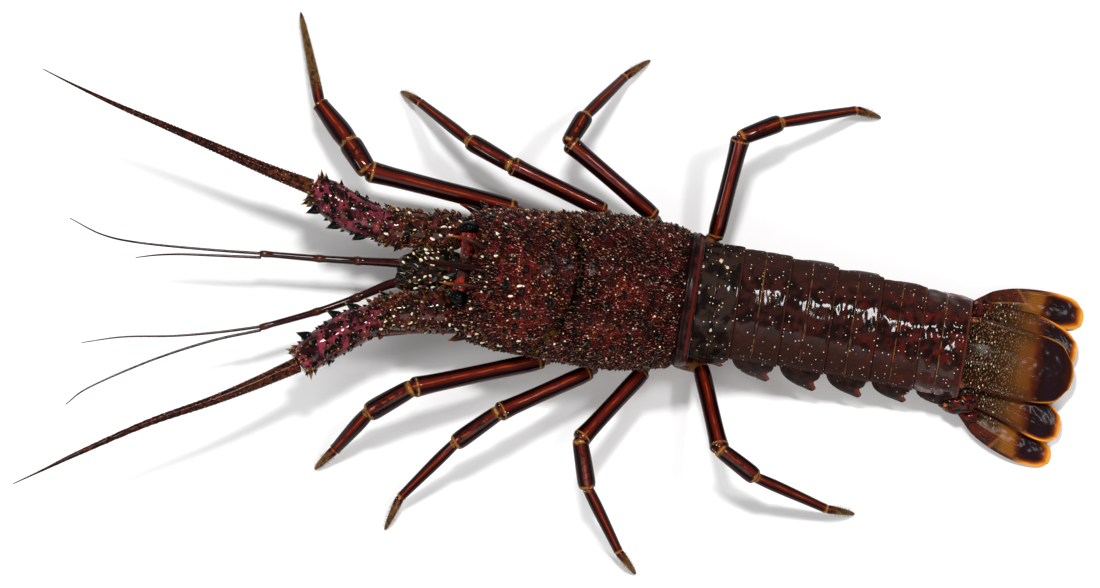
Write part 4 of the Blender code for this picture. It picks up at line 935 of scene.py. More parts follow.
for side, sign in SIDES.items():
    stations = ANTENNA_STALK[side]
    ends = (0, *STALK_SPLITS, len(stations) - 1)
    directions = [(Vector(b[:3]) - Vector(a[:3])).normalized() for a, b in zip(stations, stations[1:])]
    places, crown, bosses = [], [], []
    for label, first, last in zip(("base", "mid", "end"), ends, ends[1:]):
        rows = [(float(i), *stations[i]) for i in range(first, last + 1)]
        count = 16 * (last - first)
        points, radii = [], []
        for i in range(count + 1):
            t = i / count
            *point, radius = on_curve(rows, first + (last - first) * t)
            radius *= 0.93 + 0.09 * smooth(t, 0.0, 0.25) - 0.10 * bell(t - 0.03, 0.03)
            radius *= 1.0 + 0.03 * bell(t - 0.94, 0.05) - 0.12 * smooth(t, 0.97, 1.0)
            points.append(Vector(point))
            radii.append(radius)
        start = FORWARD if first == 0 else (directions[first - 1] + directions[first]).normalized()
        end = directions[-1] if last > len(directions) - 1 else (directions[last - 1] + directions[last]).normalized()
        rings, lay = tube_rings(points, radii, 48, start=start, end=end, depth=1.05)
        for ring in rings:
            centre = sum(ring, Vector()) / len(ring)
            for j, p in enumerate(ring):
                swell = 1.0 + 0.035 * noise.noise(p / 3.0) + 0.02 * noise.noise(p / 1.1)
                ring[j] = centre + (p - centre) * swell
        lay += [(0.0, 0.0, 0.0), (0.0, 0.0, 1.0)]
        name = "antenna_%s_%s" % (side, label)
        piece = new_piece(name + "_shell", *skin(rings), rosy_shell, lay=lay)
        with_cover(piece, lambda p: smooth(p.z, 30.0, 34.0) * 0.9 + 0.1)
        small = sown(name + "_small_thorns", piece, thorn_shape, gold_thorn if label == "mid" else thorn_shell,
                     SMALL_STALK_THORNS[label], directions[first] * 0.8, 0.2, 20 + first)
        fitted(small, "antenna")
        if label != "end":
            hair = sown(name + "_hair", piece, bristle_shape, gold_hair, STALK_HAIRS,
                        directions[first] * 1.5, 0.9, 40)
            fitted(hair, "antenna")
            fitted(sown(name + "_nubs", piece, nub_shape, nub_shell, STALK_NUBS, directions[first] * 0.4, 0.3, 42),
                   "antenna")
            with_cover(piece, lambda p: smooth(p.z, 32.0, 35.0) * patchy(p))
            fitted(sown(name + "_commas", piece, comma_shape, cream_spot, STALK_COMMAS, directions[first] * 2.0,
                        1.5, 41), "antenna")
        fitted(piece, "antenna", name)

        spans = [(b - a).length for a, b in zip(points, points[1:])]
        thorns = [(t, turn, length, length * THORN_SLIM) for t, turn, length in STALK_THORNS[label]]
        if label == "end":
            for number, t, length, width in CROWNS:
                thorns += [(t, 360.0 * (i + 10 * t) / number, length, width) for i in range(number)]
            turn, length, width = INNER_THORN
            thorns += [(t, turn, length, width) for t in INNER_THORNS[side]]
        for t, turn, length, width in thorns:
            travel = t * sum(spans)
            i = 0
            while travel > spans[i]:
                travel -= spans[i]
                i += 1
            forward = (points[i + 1] - points[i]).normalized()
            outer = forward.cross(UP).normalized() * sign
            outward = outer * math.cos(math.radians(turn)) + UP * math.sin(math.radians(turn))
            spot = points[i].lerp(points[i + 1], travel / spans[i]) + outward * radii[i] * 0.95
            (crown if t >= 0.9 else places).append((spot, outward + forward * SPINE_LEAN, width, length))
        for bx, by in STALK_BOSSES[side]:
            gap, i = min((math.hypot(p.x - bx, p.y - by), i) for i, p in enumerate(points))
            if gap > radii[i] * 0.97 or (i in (0, count) and (first > 0 if i == 0 else last < 7)):
                continue
            forward = (points[min(i + 1, count)] - points[max(i - 1, 0)]).normalized()
            beside = Vector((bx - points[i].x, by - points[i].y, 0.0))
            outward = beside / radii[i] + UP * math.sqrt(1 - (beside.length / radii[i]) ** 2)
            bosses.append((points[i] + outward * radii[i], outward + forward * 0.4, *STALK_BOSS))
    fitted(planted("antenna_%s_thorns" % side, places, thorn_shape, thorn_shell, 12), "antenna")
    fitted(planted("antenna_%s_crown" % side, crown, thorn_shape, gold_thorn, 14), "antenna")
    fitted(planted("antenna_%s_bosses" % side, bosses, boss_shape, thorn_shell, 13), "antenna")


# Whips of the antennae. Stiff tapered whips of many short rings of horn, dark red-brown,
# with rows of small pale thorns that point to the tip.
FLAGELLUM = {
    "right": [(-64.9, 22.4, 36.2), (-85.0, 26.5, 38.6), (-106.9, 31.8, 41.0), (-127.0, 36.6, 43.6),
              (-147.1, 41.4, 46.0), (-165.0, 46.2, 49.0), (-178.1, 50.2, 51.0)],
    "left": [(-58.9, -49.6, 36.2), (-75.0, -60.5, 38.8), (-91.5, -70.7, 41.0),
             (-114.3, -83.5, 44.0), (-139.5, -100.4, 48.0), (-152.0, -109.4, 49.8),
             (-163.2, -117.2, 51.0)],
}
FLAGELLUM_RADII = [3.2, 2.5, 1.9, 1.45, 1.0, 0.5, 0.2]
WHIP_RINGS = 1.3
WHIP_THORNS = (1.5, 0.4, 0.7, 0.2)

whip = Finish("whip_horn", specular_ior_level=0.0, coat_ior=1.22, coat_weight=0.5, coat_roughness=0.15)
_, up, along = whip.axes(whip.kept("lay"))
dapple = whip.fade(whip.cloud(1.6, 3.0), 0.45, 0.65)
colour = whip.mix(dapple, (0.010, 0.003, 0.002), (0.070, 0.010, 0.005))
gilt = whip.fade(whip.cloud(2.0, 3.0, 12.0), 0.46, 0.62) * whip.fade(along, 0.30, 0.02)
colour = whip.mix(gilt * 0.6, colour, (0.12, 0.036, 0.007))
whip_horn = whip.wear(base_color=colour, roughness=0.28 + 0.2 * whip.cloud(1.0, 2.0),
                      normal=whip.relief(whip.cloud(0.6, 2.0), 0.12))
for side in SIDES:
    path = smooth_path([(*p, r) for p, r in zip(FLAGELLUM[side], FLAGELLUM_RADII)], 30)
    points = [Vector(p[:3]) for p in path]
    radii, travel = [], 0.0
    for i, p in enumerate(path):
        travel += (points[i] - points[max(i - 1, 0)]).length
        radii.append(p[3] * (1.0 + 0.05 * math.sin(2 * math.pi * travel / WHIP_RINGS)))
    rings, lay = tube_rings(points, radii, 16)
    lay += [(0.0, 0.0, 0.0), (0.0, 0.0, 1.0)]
    name = "antenna_%s_flagellum" % side
    piece = new_piece(name + "_whip", *skin(rings), whip_horn, lay=lay)
    end = points[-1]
    with_cover(piece, lambda p: smooth((p - end).length, 12.0, 40.0))
    heading = (points[-1] - points[0]).normalized()
    fitted(sown(name + "_thorns", piece, bristle_shape, bristle_hair, WHIP_THORNS, heading * 1.2, 0.15, 31),
           "feeler")
    fitted(piece, "feeler", name)


# Small feelers. Each has a three-jointed stem, maroon with an orange ring at every joint,
# that splits into two soft ringed feelers.
ANTENNULE = {
    "right": {
        "stem": [(-19.5, -1.0, 27.8), (-27.5, -1.3, 27.2), (-42.0, -2.7, 26.3), (-57.3, -4.2, 26.2),
                 (-81.2, -6.1, 27.0)],
        "outer": [(-81.6, -6.1, 27.4), (-102.7, -8.1, 28.6), (-130.1, -9.9, 30.2),
                  (-145.0, -9.2, 32.0), (-158.6, -5.0, 34.0)],
        "inner": [(-81.6, -7.6, 26.4), (-100.0, -9.8, 26.8), (-112.0, -11.4, 27.4),
                  (-121.7, -13.4, 28.4), (-130.1, -16.0, 29.6)],
    },
    "left": {
        "stem": [(-19.5, -7.6, 27.8), (-27.5, -10.0, 27.2), (-40.0, -17.6, 26.8), (-55.0, -25.8, 27.0),
                 (-76.5, -35.8, 27.0)],
        "outer": [(-76.9, -35.6, 27.4), (-92.0, -40.2, 27.8), (-110.0, -44.8, 28.6),
                  (-130.0, -48.6, 29.8), (-145.9, -53.7, 31.2)],
        "inner": [(-76.9, -37.0, 26.4), (-95.3, -44.4, 27.2), (-117.9, -56.4, 28.8),
                  (-140.2, -71.2, 31.0), (-148.2, -79.7, 33.0)],
    },
}
STEM_RADII = [2.3, 1.9, 1.6, 1.4, 1.2]
FEELER_RADII = [0.62, 0.55, 0.45, 0.35, 0.2]
FEELER_SEAT = 1.2

maroon = Finish("feeler_shell", specular_ior_level=0.0, coat_ior=1.3, coat_weight=0.8, coat_roughness=0.07)
_, up, along = maroon.axes(maroon.kept("lay"))
mottle = maroon.fade(maroon.cloud(2.2, 3.0), 0.45, 0.62)
ring = maroon.kept("joint", "Fac")
colour = maroon.mix(mottle, (0.0035, 0.0012, 0.0015), (0.020, 0.0028, 0.0030))
# Painted highlight: the top of each feeler is lighter.
colour = maroon.mix(maroon.fade(up, 0.5, 0.95) * 0.3, colour, (0.050, 0.008, 0.006))
colour = maroon.mix(ring * 0.6, colour, (0.080, 0.018, 0.005))
feeler_shell = maroon.wear(base_color=colour, roughness=0.22 + 0.15 * maroon.cloud(1.5, 1.0),
                           normal=maroon.relief(maroon.cloud(0.7, 2.0), 0.06))
for side, parts in ANTENNULE.items():
    for label, points in parts.items():
        stem = label == "stem"
        if not stem:
            seat = Vector(points[0]) - Vector(points[1])
            points = [tuple(Vector(points[0]) + seat.normalized() * FEELER_SEAT)] + points[1:]
        path = smooth_path([(*p, r) for p, r in zip(points, STEM_RADII if stem else FEELER_RADII)], 24)
        count = len(path) - 1
        radii, joint = [], []
        for i, p in enumerate(path):
            if stem:
                gap = min(abs(i / count - t) for t in (0.5, 0.75, 0.98))
                radii.append(p[3] * (1.0 + 0.20 * bell(gap, 0.018)))
                joint.append(bell(gap, 0.018))
            else:
                radii.append(p[3] * (1.0 + 0.06 * (i % 2)))
                joint.append(0.15 * (i % 2))
        rings, lay = tube_rings([p[:3] for p in path], radii, 14, start=FORWARD)
        joint = [value for value in joint for _ in range(14)] + [0.0, 0.0]
        lay += [(0.0, 0.0, 0.0), (0.0, 0.0, 1.0)]
        name = "antennule_%s_%s" % (side, label)
        fitted(new_piece(name + "_shell", *skin(rings), feeler_shell, lay=lay, joint=joint), "feeler", name)


# Chest plate and mouth legs. Under the chest a keel of pale tan shell carries the hips,
# and two jaws' worth of jointed mouth legs lie forward under the head with combs of hair.
STERNUM = (20.0, 92.0, 8.5, 0.11, 18.6, 13.2)
STERNUM_RIBS = (28.0, 42.0, 56.0, 70.0, 84.0)
MAXILLIPED = [(19.7, 4.6, 16.0), (8.0, 5.2, 16.6), (-6.0, 5.4, 17.4), (-15.0, 4.8, 19.0),
              (-19.5, 3.9, 21.4)]
MAXILLIPED_RADII = [2.4, 2.6, 2.3, 1.8, 0.7]

pale = Finish("under_shell", specular_ior_level=0.1, coat_ior=1.3, coat_weight=0.5, coat_roughness=0.15)
_, _, z = pale.axes(pale.spot)
spots = pale.fade(pale.cloud(3.0, 4.0), 0.48, 0.64)
colour = pale.mix(spots, (0.42, 0.20, 0.085), (0.20, 0.040, 0.020))
streaks = pale.fade(pale.cloud(1.2, 3.0, 8.0), 0.58, 0.7)
colour = pale.mix(streaks, colour, (0.62, 0.44, 0.24))
under_shell = pale.wear(base_color=colour, roughness=0.28 + 0.2 * pale.cloud(2.0, 2.0),
                        normal=pale.relief(pale.cloud(1.0, 3.0), 0.2))


def sternum_half(x):
    """Half width of the keel at x."""
    start, _, front, widening, _, _ = STERNUM
    return front + widening * (x - start)


rings = []
start, end, _, _, top, bottom = STERNUM
for i in range(91):
    px = start + (end - start) * i / 90
    half = sternum_half(px)
    groove = min(abs(px - rib - 7.0) for rib in STERNUM_RIBS)
    ring = []
    for j in range(64):
        angle = 2 * math.pi * j / 64
        across, up = section_point(half, top, bottom, 16.2, 4.0, angle)
        under = max(0.0, -math.cos(angle))
        up += under * (0.7 * bell(groove, 0.9) + 0.5 * bell(across, 2.0))
        ring.append(Vector((px, across, up)))
    rings.append(ring)
fitted(new_piece("chest_plate", *skin(rings), under_shell), "underside", "sternum")
for side, sign in SIDES.items():
    path = smooth_path([(px, py * sign, pz, r) for (px, py, pz), r in zip(MAXILLIPED, MAXILLIPED_RADII)], 16)
    radii = [p[3] * (1.0 - 0.16 * bell(i % 16 - 1.0, 1.3)) for i, p in enumerate(path)]
    rings, lay = tube_rings([p[:3] for p in path], radii, 24, start=FORWARD, depth=0.95)
    piece = new_piece("mouth_leg_" + side, *skin(rings), under_shell)
    with_cover(piece, lambda p: 1.0 if abs(p.y) < 4.6 else 0.15)
    inward = Vector((-0.5, -sign * 1.2, 0.2))
    fitted(sown("mouth_hair_" + side, piece, bristle_shape, gold_hair, (0.9, 1.2, 2.4, 0.04), inward, 0.4, 44),
           "underside")
    fitted(piece, "underside", "maxilliped_" + side)


# Abdomen. Six rings of glossy dark shell, each sliding over the next, crossed by a hair-filled
# golden groove, with a toothed lobe down each side and leaf-like swimmerets underneath.
ABDOMEN_STATIONS = [
    (95.0, 2.8, 24.0, 51.0, 18.5, 30.0),
    (111.0, 3.8, 23.2, 48.4, 17.4, 28.0),
    (130.5, 4.0, 22.6, 44.6, 15.6, 25.0),
    (149.5, 3.7, 22.0, 40.6, 14.2, 22.4),
    (168.0, 3.4, 21.6, 36.8, 13.0, 20.0),
    (186.0, 3.0, 21.2, 33.0, 11.8, 17.8),
    (204.5, 2.4, 20.6, 29.0, 9.4, 15.0),
]
ABDOMEN_JOINTS = [95.0, 111.0, 130.5, 149.5, 168.0, 186.0, 204.5]
RING_PROFILE = [(0.0, 0.968), (0.10, 0.976), (0.30, 0.988), (0.42, 0.990), (0.60, 0.994),
                (0.88, 1.002), (0.96, 1.001), (1.0, 0.988)]
CROSS_GROOVE = (0.445, 0.03, 0.018)
LAST_BULGE = 3.0
RING_NECK = 4
NECK_SCALE = 0.97
LOBE_TUCK = {"right": 2.4, "left": 0.0}
LOBE_TIPS = [(23.6, 14.2), (27.0, 12.4), (27.6, 11.2), (26.8, 10.0), (25.4, 8.9), (24.0, 8.2)]
# Down the lobe from root to tip: its front and rear edges, as shares of the ring's length
LOBE_EDGES = [(0.0, 0.04, 0.95), (0.2, 0.08, 0.95), (0.36, 0.14, 0.92), (0.5, 0.22, 0.84),
              (0.66, 0.34, 0.86), (0.80, 0.46, 0.90), (0.92, 0.62, 0.90), (1.0, 0.78, 0.86)]
LOBE_THICKNESS = (3.0, 0.8)
SWIMMERETS = (2, 3, 4, 5)
SWIMMERET_ROOT = (0.3, 12.0, 1.2)
SWIMMERET_REACH = (9.5, 2.4, -4.6)
SWIMMERET_OUTLINE = [(0.0, 1.6), (0.15, 2.6), (0.3, 3.4), (0.5, 3.9), (0.7, 4.0), (0.88, 3.2), (1.0, 1.2)]

tail = Finish("tail_shell_skin", specular_ior_level=0.0, coat_ior=1.22, coat_roughness=0.07)
around, _, along = tail.axes(tail.kept("lay"))
x, y, z = tail.axes(tail.spot)
mottle = tail.fade(tail.cloud(4.0, 4.0), 0.42, 0.64)
colour = tail.mix(mottle, (0.0065, 0.0026, 0.0021), (0.030, 0.0075, 0.0060))
ember = tail.fade(tail.cloud(5.0, 4.0, 22.0), 0.50, 0.64) * tail.fade(x, 118.0, 190.0)
colour = tail.mix(ember * 0.6, colour, (0.085, 0.0065, 0.004))
# The abdomen's sides are matte; their lighter grey-brown colour is partly their own and partly a painted sheen.
matte_sides_painted_sheen = tail.fade(around + 0.06 * (tail.cloud(5.0, 3.0, 61.0) - 0.5), 0.09, 0.23)
colour = tail.mix(matte_sides_painted_sheen * 0.7, colour, (0.036, 0.0150, 0.0120))
first = tail.fade(x, 111.0, 109.0)
soil = tail.fade(tail.cloud(4.0, 4.0, 33.0), 0.42, 0.60)
colour = tail.mix(first * 0.85, colour, tail.mix(soil, (0.0036, 0.0026, 0.0022), (0.026, 0.0150, 0.0115)))
chalk = (1 - tail.fade(tail.cells(3.4), 0.16, 0.26)) * tail.fade(tail.cells(3.4, output="Color")[0], 0.78, 0.80)
colour = tail.mix(chalk * first, colour, (0.66, 0.50, 0.34))
groove = 1 - tail.fade(tail.node("ShaderNodeMath", {"operation": "ABSOLUTE"}, {0: along - 0.445}), 0.006, 0.017)
golden = groove * tail.fade(around, 0.62, 0.52) * (1 - first)
colour = tail.mix(golden * tail.fade(tail.cloud(3.5, 3.0, 5.0), 0.36, 0.66), colour, (0.20, 0.085, 0.018))
last = tail.fade(x, 184.0, 189.0)
fire = tail.fade(tail.cloud(3.6, 3.0, 77.0), 0.54, 0.68) * tail.fade(x, 160.0, 192.0)
colour = tail.mix(fire * 0.7, colour, (0.120, 0.0075, 0.0035))
margin = tail.fade(along, 0.955, 0.975)
colour = tail.mix(margin * 0.8, colour, tail.mix(last, (0.045, 0.012, 0.006), (0.10, 0.017, 0.006)))
fleck = 1 - tail.fade(tail.cells(1.3), 0.12, 0.24)
chance = tail.fade(tail.cells(1.3, output="Color")[0], 0.76, 0.78) * tail.fade(around, 0.62, 0.5)
colour = tail.mix(fleck * chance, colour, (0.80, 0.66, 0.48))
belly = tail.fade(around, 0.64, 0.74)
colour = tail.mix(belly, colour, tail.mix(tail.fade(tail.cloud(3.0, 3.0, 9.0), 0.45, 0.6),
                                          (0.30, 0.12, 0.05), (0.12, 0.030, 0.016)))
rough = 0.16 + 0.34 * matte_sides_painted_sheen * (1 - last) + 0.16 * tail.cloud(2.2, 3.0)
height = tail.cloud(3.4, 2.0) * (1 + 1.2 * last) + tail.cloud(0.9, 2.0, 13.0) * (0.22 + 0.45 * matte_sides_painted_sheen) + fleck * chance * 0.2
tail_skin = tail.wear(base_color=colour, roughness=rough, coat_weight=0.95 - 0.87 * matte_sides_painted_sheen * (1 - last),
                      normal=tail.relief(height, 0.60))
lobe = Finish("lobe_shell", specular_ior_level=0.0, coat_ior=1.22, coat_weight=0.35, coat_roughness=0.15)
_, down, rear = lobe.axes(lobe.kept("lay"))
soot = lobe.fade(lobe.cloud(3.0, 3.0), 0.4, 0.65)
colour = lobe.mix(soot, (0.010, 0.0045, 0.0038), (0.030, 0.011, 0.008))
burn = lobe.fade(rear, 0.72, 0.96) * lobe.fade(down, 0.35, 0.6)
colour = lobe.mix(burn, colour, (0.14, 0.020, 0.007))
fleck = (1 - lobe.fade(lobe.cells(2.2), 0.10, 0.2)) * lobe.fade(lobe.cells(2.2, output="Color")[0], 0.7, 0.73)
colour = lobe.mix(fleck, colour, (0.75, 0.60, 0.42))
lobe_shell = lobe.wear(base_color=colour, roughness=0.34 + 0.25 * lobe.cloud(1.5, 2.0),
                       normal=lobe.relief(lobe.cloud(0.9, 3.0), 0.25))
leaf = Finish("swimmeret_leaf", specular_ior_level=0.1, coat_ior=1.3, coat_weight=0.4, coat_roughness=0.2)
_, _, rim = leaf.axes(leaf.kept("lay"))
veins = leaf.fade(leaf.cloud(1.0, 2.0, spot=leaf.stretched((4.0, 0.8, 1.0))), 0.42, 0.6)
colour = leaf.mix(veins, (0.30, 0.085, 0.018), (0.13, 0.030, 0.010))
swimmeret_leaf = leaf.wear(base_color=leaf.mix(leaf.fade(rim, 0.6, 0.95), colour, (0.50, 0.20, 0.05)),
                           roughness=0.3 + 0.2 * veins, normal=leaf.relief(veins, 0.15))


def sheet(rows_up, rows_down):
    """Points and faces of a closed plate between an upper and a lower grid of points."""
    tall, wide = len(rows_up), len(rows_up[0])
    points = [Vector(p) for row in rows_up for p in row] + [Vector(p) for row in rows_down for p in row]
    base = tall * wide
    faces = []
    for i in range(tall - 1):
        for j in range(wide - 1):
            a, b, c, d = i * wide + j, i * wide + j + 1, (i + 1) * wide + j + 1, (i + 1) * wide + j
            faces += [(a, b, c, d), (base + a, base + d, base + c, base + b)]
    rim = [j for j in range(wide)] + [i * wide + wide - 1 for i in range(1, tall)]
    rim += [(tall - 1) * wide + j for j in range(wide - 2, -1, -1)] + [i * wide for i in range(tall - 2, 0, -1)]
    for a, b in zip(rim, rim[1:] + rim[:1]):
        faces.append((a, b, base + b, base + a))
    return points, faces


def ring_scale(t, around):
    """How far the section of one abdomen ring is drawn in, a share t along it."""
    place, depth, width = CROSS_GROOVE
    drawn = on_curve(RING_PROFILE, t)[0]
    return drawn - depth * bell(t - place, width) * (1 - smooth(around, 0.52, 0.62))


for number in range(1, len(ABDOMEN_JOINTS)):
    start, end = ABDOMEN_JOINTS[number - 1] + (0.3 if number > 1 else 0.0), ABDOMEN_JOINTS[number]
    rings, lay = [], []
    for i in range(-RING_NECK, 61):
        t = i / 60
        px = start + (end - start) * t
        middle, half, top, bottom, wide = on_curve(ABDOMEN_STATIONS, px)
        ring = []
        for j in range(160):
            angle = 2 * math.pi * j / 160
            turn = abs(math.remainder(angle, 2 * math.pi)) / math.pi
            scale = ring_scale(t, turn) * (NECK_SCALE if i < 0 else 1.0)
            across, up = section_point(half, top, bottom, wide, 2.4, angle)
            point = Vector((px, middle + across * scale, wide + (up - wide) * scale))
            out = Vector((0.0, across, up - wide)).normalized()
            lump = (0.22 if number < 6 else 0.75) * noise.noise(point / 4.5)
            point += out * (min(lump, 0.25) + 0.07 * noise.noise(point / 1.4) - 0.12)
            if turn > 0.66:
                point.z += 1.1 * smooth(turn, 0.66, 0.8) * bell(t - 0.65, 0.28)
            ring.append(point)
            lay.append((turn, 0.0, t))
        rings.append(ring)
    middle, half, top, bottom, wide = on_curve(ABDOMEN_STATIONS, end)
    final = number == len(ABDOMEN_JOINTS) - 1
    rear = end + LAST_BULGE if final else end - 0.4
    rings += drawn_in(rings[-1], (0.05, 0.14, 0.5), Vector((rear, middle, wide)))
    for place in (1.0, 0.7, 0.7) if final else (1.0, 1.0, 1.0):
        lay += [(turn, 0.0, place) for turn, _, _ in lay[:160]]
    lay += [(0.5, 0.0, 0.0), (0.5, 0.0, 0.7)]
    name = "abdomen_%d" % number
    fitted(new_piece(name + "_ring", *skin(rings), tail_skin, lay=lay), "tail_shell", name)

    middle, half, _, _, wide = on_curve(ABDOMEN_STATIONS, (start + end) / 2)
    reach, tip_height = LOBE_TIPS[number - 1]
    for side, sign in SIDES.items():
        outer, inner, lay = [], [], []
        for i in range(25):
            drop = i / 24
            front, back = on_curve(LOBE_EDGES, drop)
            bulge = 0.9 * math.sin(math.pi * min(drop * 1.1, 1.0))
            spread = half * 0.95 + (reach - LOBE_TUCK[side] - half * 0.95) * drop + bulge
            pz = wide + (tip_height - wide) * drop
            thick = LOBE_THICKNESS[0] + (LOBE_THICKNESS[1] - LOBE_THICKNESS[0]) * drop
            row_out, row_in = [], []
            for j in range(19):
                s = j / 18
                px = start + (end - start) * (front + (back - front) * s)
                crown = 1 - (2 * s - 1) ** 4
                row_out.append((px, middle + sign * (spread - 0.25 * thick * (1 - crown)), pz))
                row_in.append((px, middle + sign * (spread - thick * (0.35 + 0.65 * crown)), pz))
                lay.append((0.0, drop, s))
            outer.append(row_out)
            inner.append(row_in)
        piece = new_piece("lobe_%d_%s" % (number, side), *sheet(outer, inner), lobe_shell, lay=lay + lay)
        fitted(piece, "tail_shell")
        if number not in SWIMMERETS:
            continue
        share, away, sink = SWIMMERET_ROOT
        px = start + (end - start) * share
        centre, _, _, low, _ = on_curve(ABDOMEN_STATIONS, px)
        root = Vector((px, centre + sign * away, low + sink))
        reach_out = Vector((SWIMMERET_REACH[0], sign * SWIMMERET_REACH[1], SWIMMERET_REACH[2]))
        beside = reach_out.cross(UP).normalized()
        depth = beside.cross(reach_out).normalized()
        upper, lower, lay = [], [], []
        for i in range(21):
            t = i / 20
            width = on_curve(SWIMMERET_OUTLINE, t)[0]
            row_up, row_low = [], []
            for j in range(13):
                v = 2 * j / 12 - 1
                spot = root + reach_out * t + beside * width * v
                spot += depth * (0.5 * (1 - v * v) - 0.3 * t)
                thick = 0.12 + 0.4 * (1 - v * v) * (1 - 0.7 * t)
                row_up.append(spot)
                row_low.append(spot - depth * thick)
                lay.append((v, 0.0, max(abs(v), t)))
            upper.append(row_up)
            lower.append(row_low)
        piece = new_piece("swimmeret_%d_%s" % (number, side), *sheet(upper, lower), swimmeret_leaf, lay=lay + lay)
        fitted(piece, "tail_shell")


# Tail fan. Five thin blades on the last ring: firm and speckled at the root, then soft and
# ribbed, amber to blue-black with an orange rim. A hard rib stiffens each outer blade.
TELSON = [(204.8, 1.6, 14.2), (212.0, 1.4, 14.5), (222.0, 0.5, 14.3), (232.0, -0.2, 14.0),
          (240.5, -0.5, 12.8), (246.4, -0.7, 9.8), (249.6, -0.8, 5.4)]
ENDOPOD = {
    "right": [(204.8, 15.6, 2.2), (209.0, 15.5, 3.2), (213.5, 16.8, 4.8), (222.0, 15.4, 7.2),
              (233.0, 13.2, 8.6), (241.4, 11.0, 8.0), (246.6, 9.9, 6.7), (249.6, 9.6, 4.2)],
    "left": [(204.8, -15.5, 2.2), (209.0, -15.1, 3.2), (213.5, -15.2, 4.6), (222.0, -15.6, 6.8),
             (232.0, -17.9, 8.4), (239.4, -19.9, 8.3), (244.6, -20.9, 7.0), (247.6, -21.3, 4.4)],
}
EXOPOD = {
    "right": [(204.8, 20.4, 2.3), (209.0, 22.6, 3.6), (213.0, 24.0, 5.0), (222.0, 25.7, 6.0),
              (234.0, 26.0, 6.7), (242.6, 25.5, 6.6), (247.6, 24.9, 5.6), (250.2, 24.3, 3.4)],
    "left": [(204.8, -20.4, 2.3), (208.6, -22.4, 3.8), (212.0, -24.2, 5.2), (219.0, -27.2, 6.3),
             (229.0, -30.5, 6.7), (237.4, -32.0, 6.4), (242.8, -32.8, 5.2), (245.6, -33.0, 3.2)],
}
TELSON_HEIGHTS = [14.6, 13.9, 12.5, 10.8, 9.2, 8.0, 7.3]
ENDOPOD_HEIGHTS = [11.2, 10.4, 8.6, 7.4, 6.3, 5.4, 4.8, 4.4]
EXOPOD_HEIGHTS = [11.2, 8.0, 6.0, 4.7, 3.1, 1.7, 0.8, 0.3]
TELSON_THICKNESS = [4.6, 4.0, 2.6, 1.8, 1.4, 1.2, 1.0]
UROPOD_THICKNESS = [2.4, 2.2, 1.8, 1.6, 1.4, 1.2, 1.1, 1.0]
# Short glossy stumps that carry the outer blades: X, Y, height, half length, half width, half height
STUMPS = {
    "right": [(205.5, 19.5, 10.6, 5.5, 3.6, 3.0), (210.0, 22.2, 8.4, 3.2, 2.2, 1.6)],
    "left": [(204.5, -19.3, 10.8, 7.5, 4.6, 3.6), (209.5, -17.2, 10.6, 3.6, 2.6, 2.0),
             (211.0, -23.4, 8.0, 3.6, 2.4, 1.6)],
}
# Bright knuckles on the rear edge of the last ring, measured like the stumps
KNUCKLES = {"right": [(206.0, 13.6, 20.6, 1.5, 1.1, 1.1)], "left": [(203.6, -13.2, 22.6, 2.6, 1.5, 1.6)]}
BLADE_ROWS = 90
BLADE_COLUMNS = 61
BLADE_END = 0.90

blade = Finish("fan_blade", specular_ior_level=0.0, coat_ior=1.22, coat_roughness=0.14, coat_weight=0.2)
v, rim, along = blade.axes(blade.kept("lay"))
hard = blade.kept("hard", "Fac")
wobble = blade.cloud(4.0, 2.0) - 0.5
run = along + 0.10 * wobble
colour = blade.ramp(run, [
    (0.0, (0.008, 0.0035, 0.002)), (0.30, (0.020, 0.0085, 0.003)), (0.42, (0.055, 0.022, 0.005)),
    (0.52, (0.14, 0.048, 0.008)), (0.60, (0.155, 0.042, 0.006)), (0.655, (0.065, 0.010, 0.004)),
    (0.71, (0.0070, 0.0032, 0.0045)), (0.80, (0.0075, 0.0045, 0.0085)), (0.90, (0.0080, 0.0040, 0.0060)),
    (0.945, (0.030, 0.006, 0.004))])
brim = blade.kept("brim", "Fac")
dim = blade.fade(v * v, 0.15, 0.75) * blade.fade(run, 0.68, 0.60)
colour = blade.mix(dim * 0.6, colour, (0.026, 0.009, 0.004))
warm = blade.fade(brim, 0.95, 1.25) * blade.fade(run, 0.42, 0.52) * blade.fade(run, 0.66, 0.60)
colour = blade.mix(warm * 0.4, colour, (0.42, 0.14, 0.010))
ribs = 0.5 + 0.5 * blade.node("ShaderNodeMath", {"operation": "SINE"}, {0: v * blade.kept("ribs", "Fac")})
ribbed = blade.fade(run, 0.34, 0.48) * (1 - hard)
colour = blade.mix(ribbed * ribs * 0.45, colour, (0.035, 0.010, 0.005))
grains = blade.stretched((0.54, 1.10, 0.8))
dash = 1 - blade.fade(blade.cells(1.0, spot=grains), 0.26, 0.46)
pick = blade.cells(1.0, spot=grains, output="Color")[0]
speckled = blade.fade(run + 0.25 * (pick - 0.5), 0.58, 0.44) * dash * blade.fade(pick, 0.10, 0.22)
colour = blade.mix(speckled, colour, blade.mix(blade.fade(pick, 0.86, 0.95), (0.19, 0.095, 0.046), (0.80, 0.64, 0.42)))
late = blade.fade(run, 0.55, 0.78)
rim = rim * (0.75 + 0.7 * blade.cloud(5.0, 2.0, 9.0)) / brim
glow = late * blade.fade(brim, 0.1, 0.9)
colour = blade.mix(blade.fade(rim, 4.6, 1.8) * glow, colour, (0.100, 0.017, 0.006))
colour = blade.mix(blade.fade(rim, 3.0, 1.0) * glow, colour, (0.50, 0.125, 0.008))
colour = blade.mix(blade.fade(rim, 1.8, 0.4) * glow, colour, (0.72, 0.30, 0.030))
border = blade.fade(rim, 2.0, 1.4) * (1 - late)
colour = blade.mix(border, colour, blade.mix(blade.fade(blade.cloud(2.0, 2.0), 0.4, 0.6),
                                             (0.036, 0.013, 0.010), (0.075, 0.014, 0.010)))
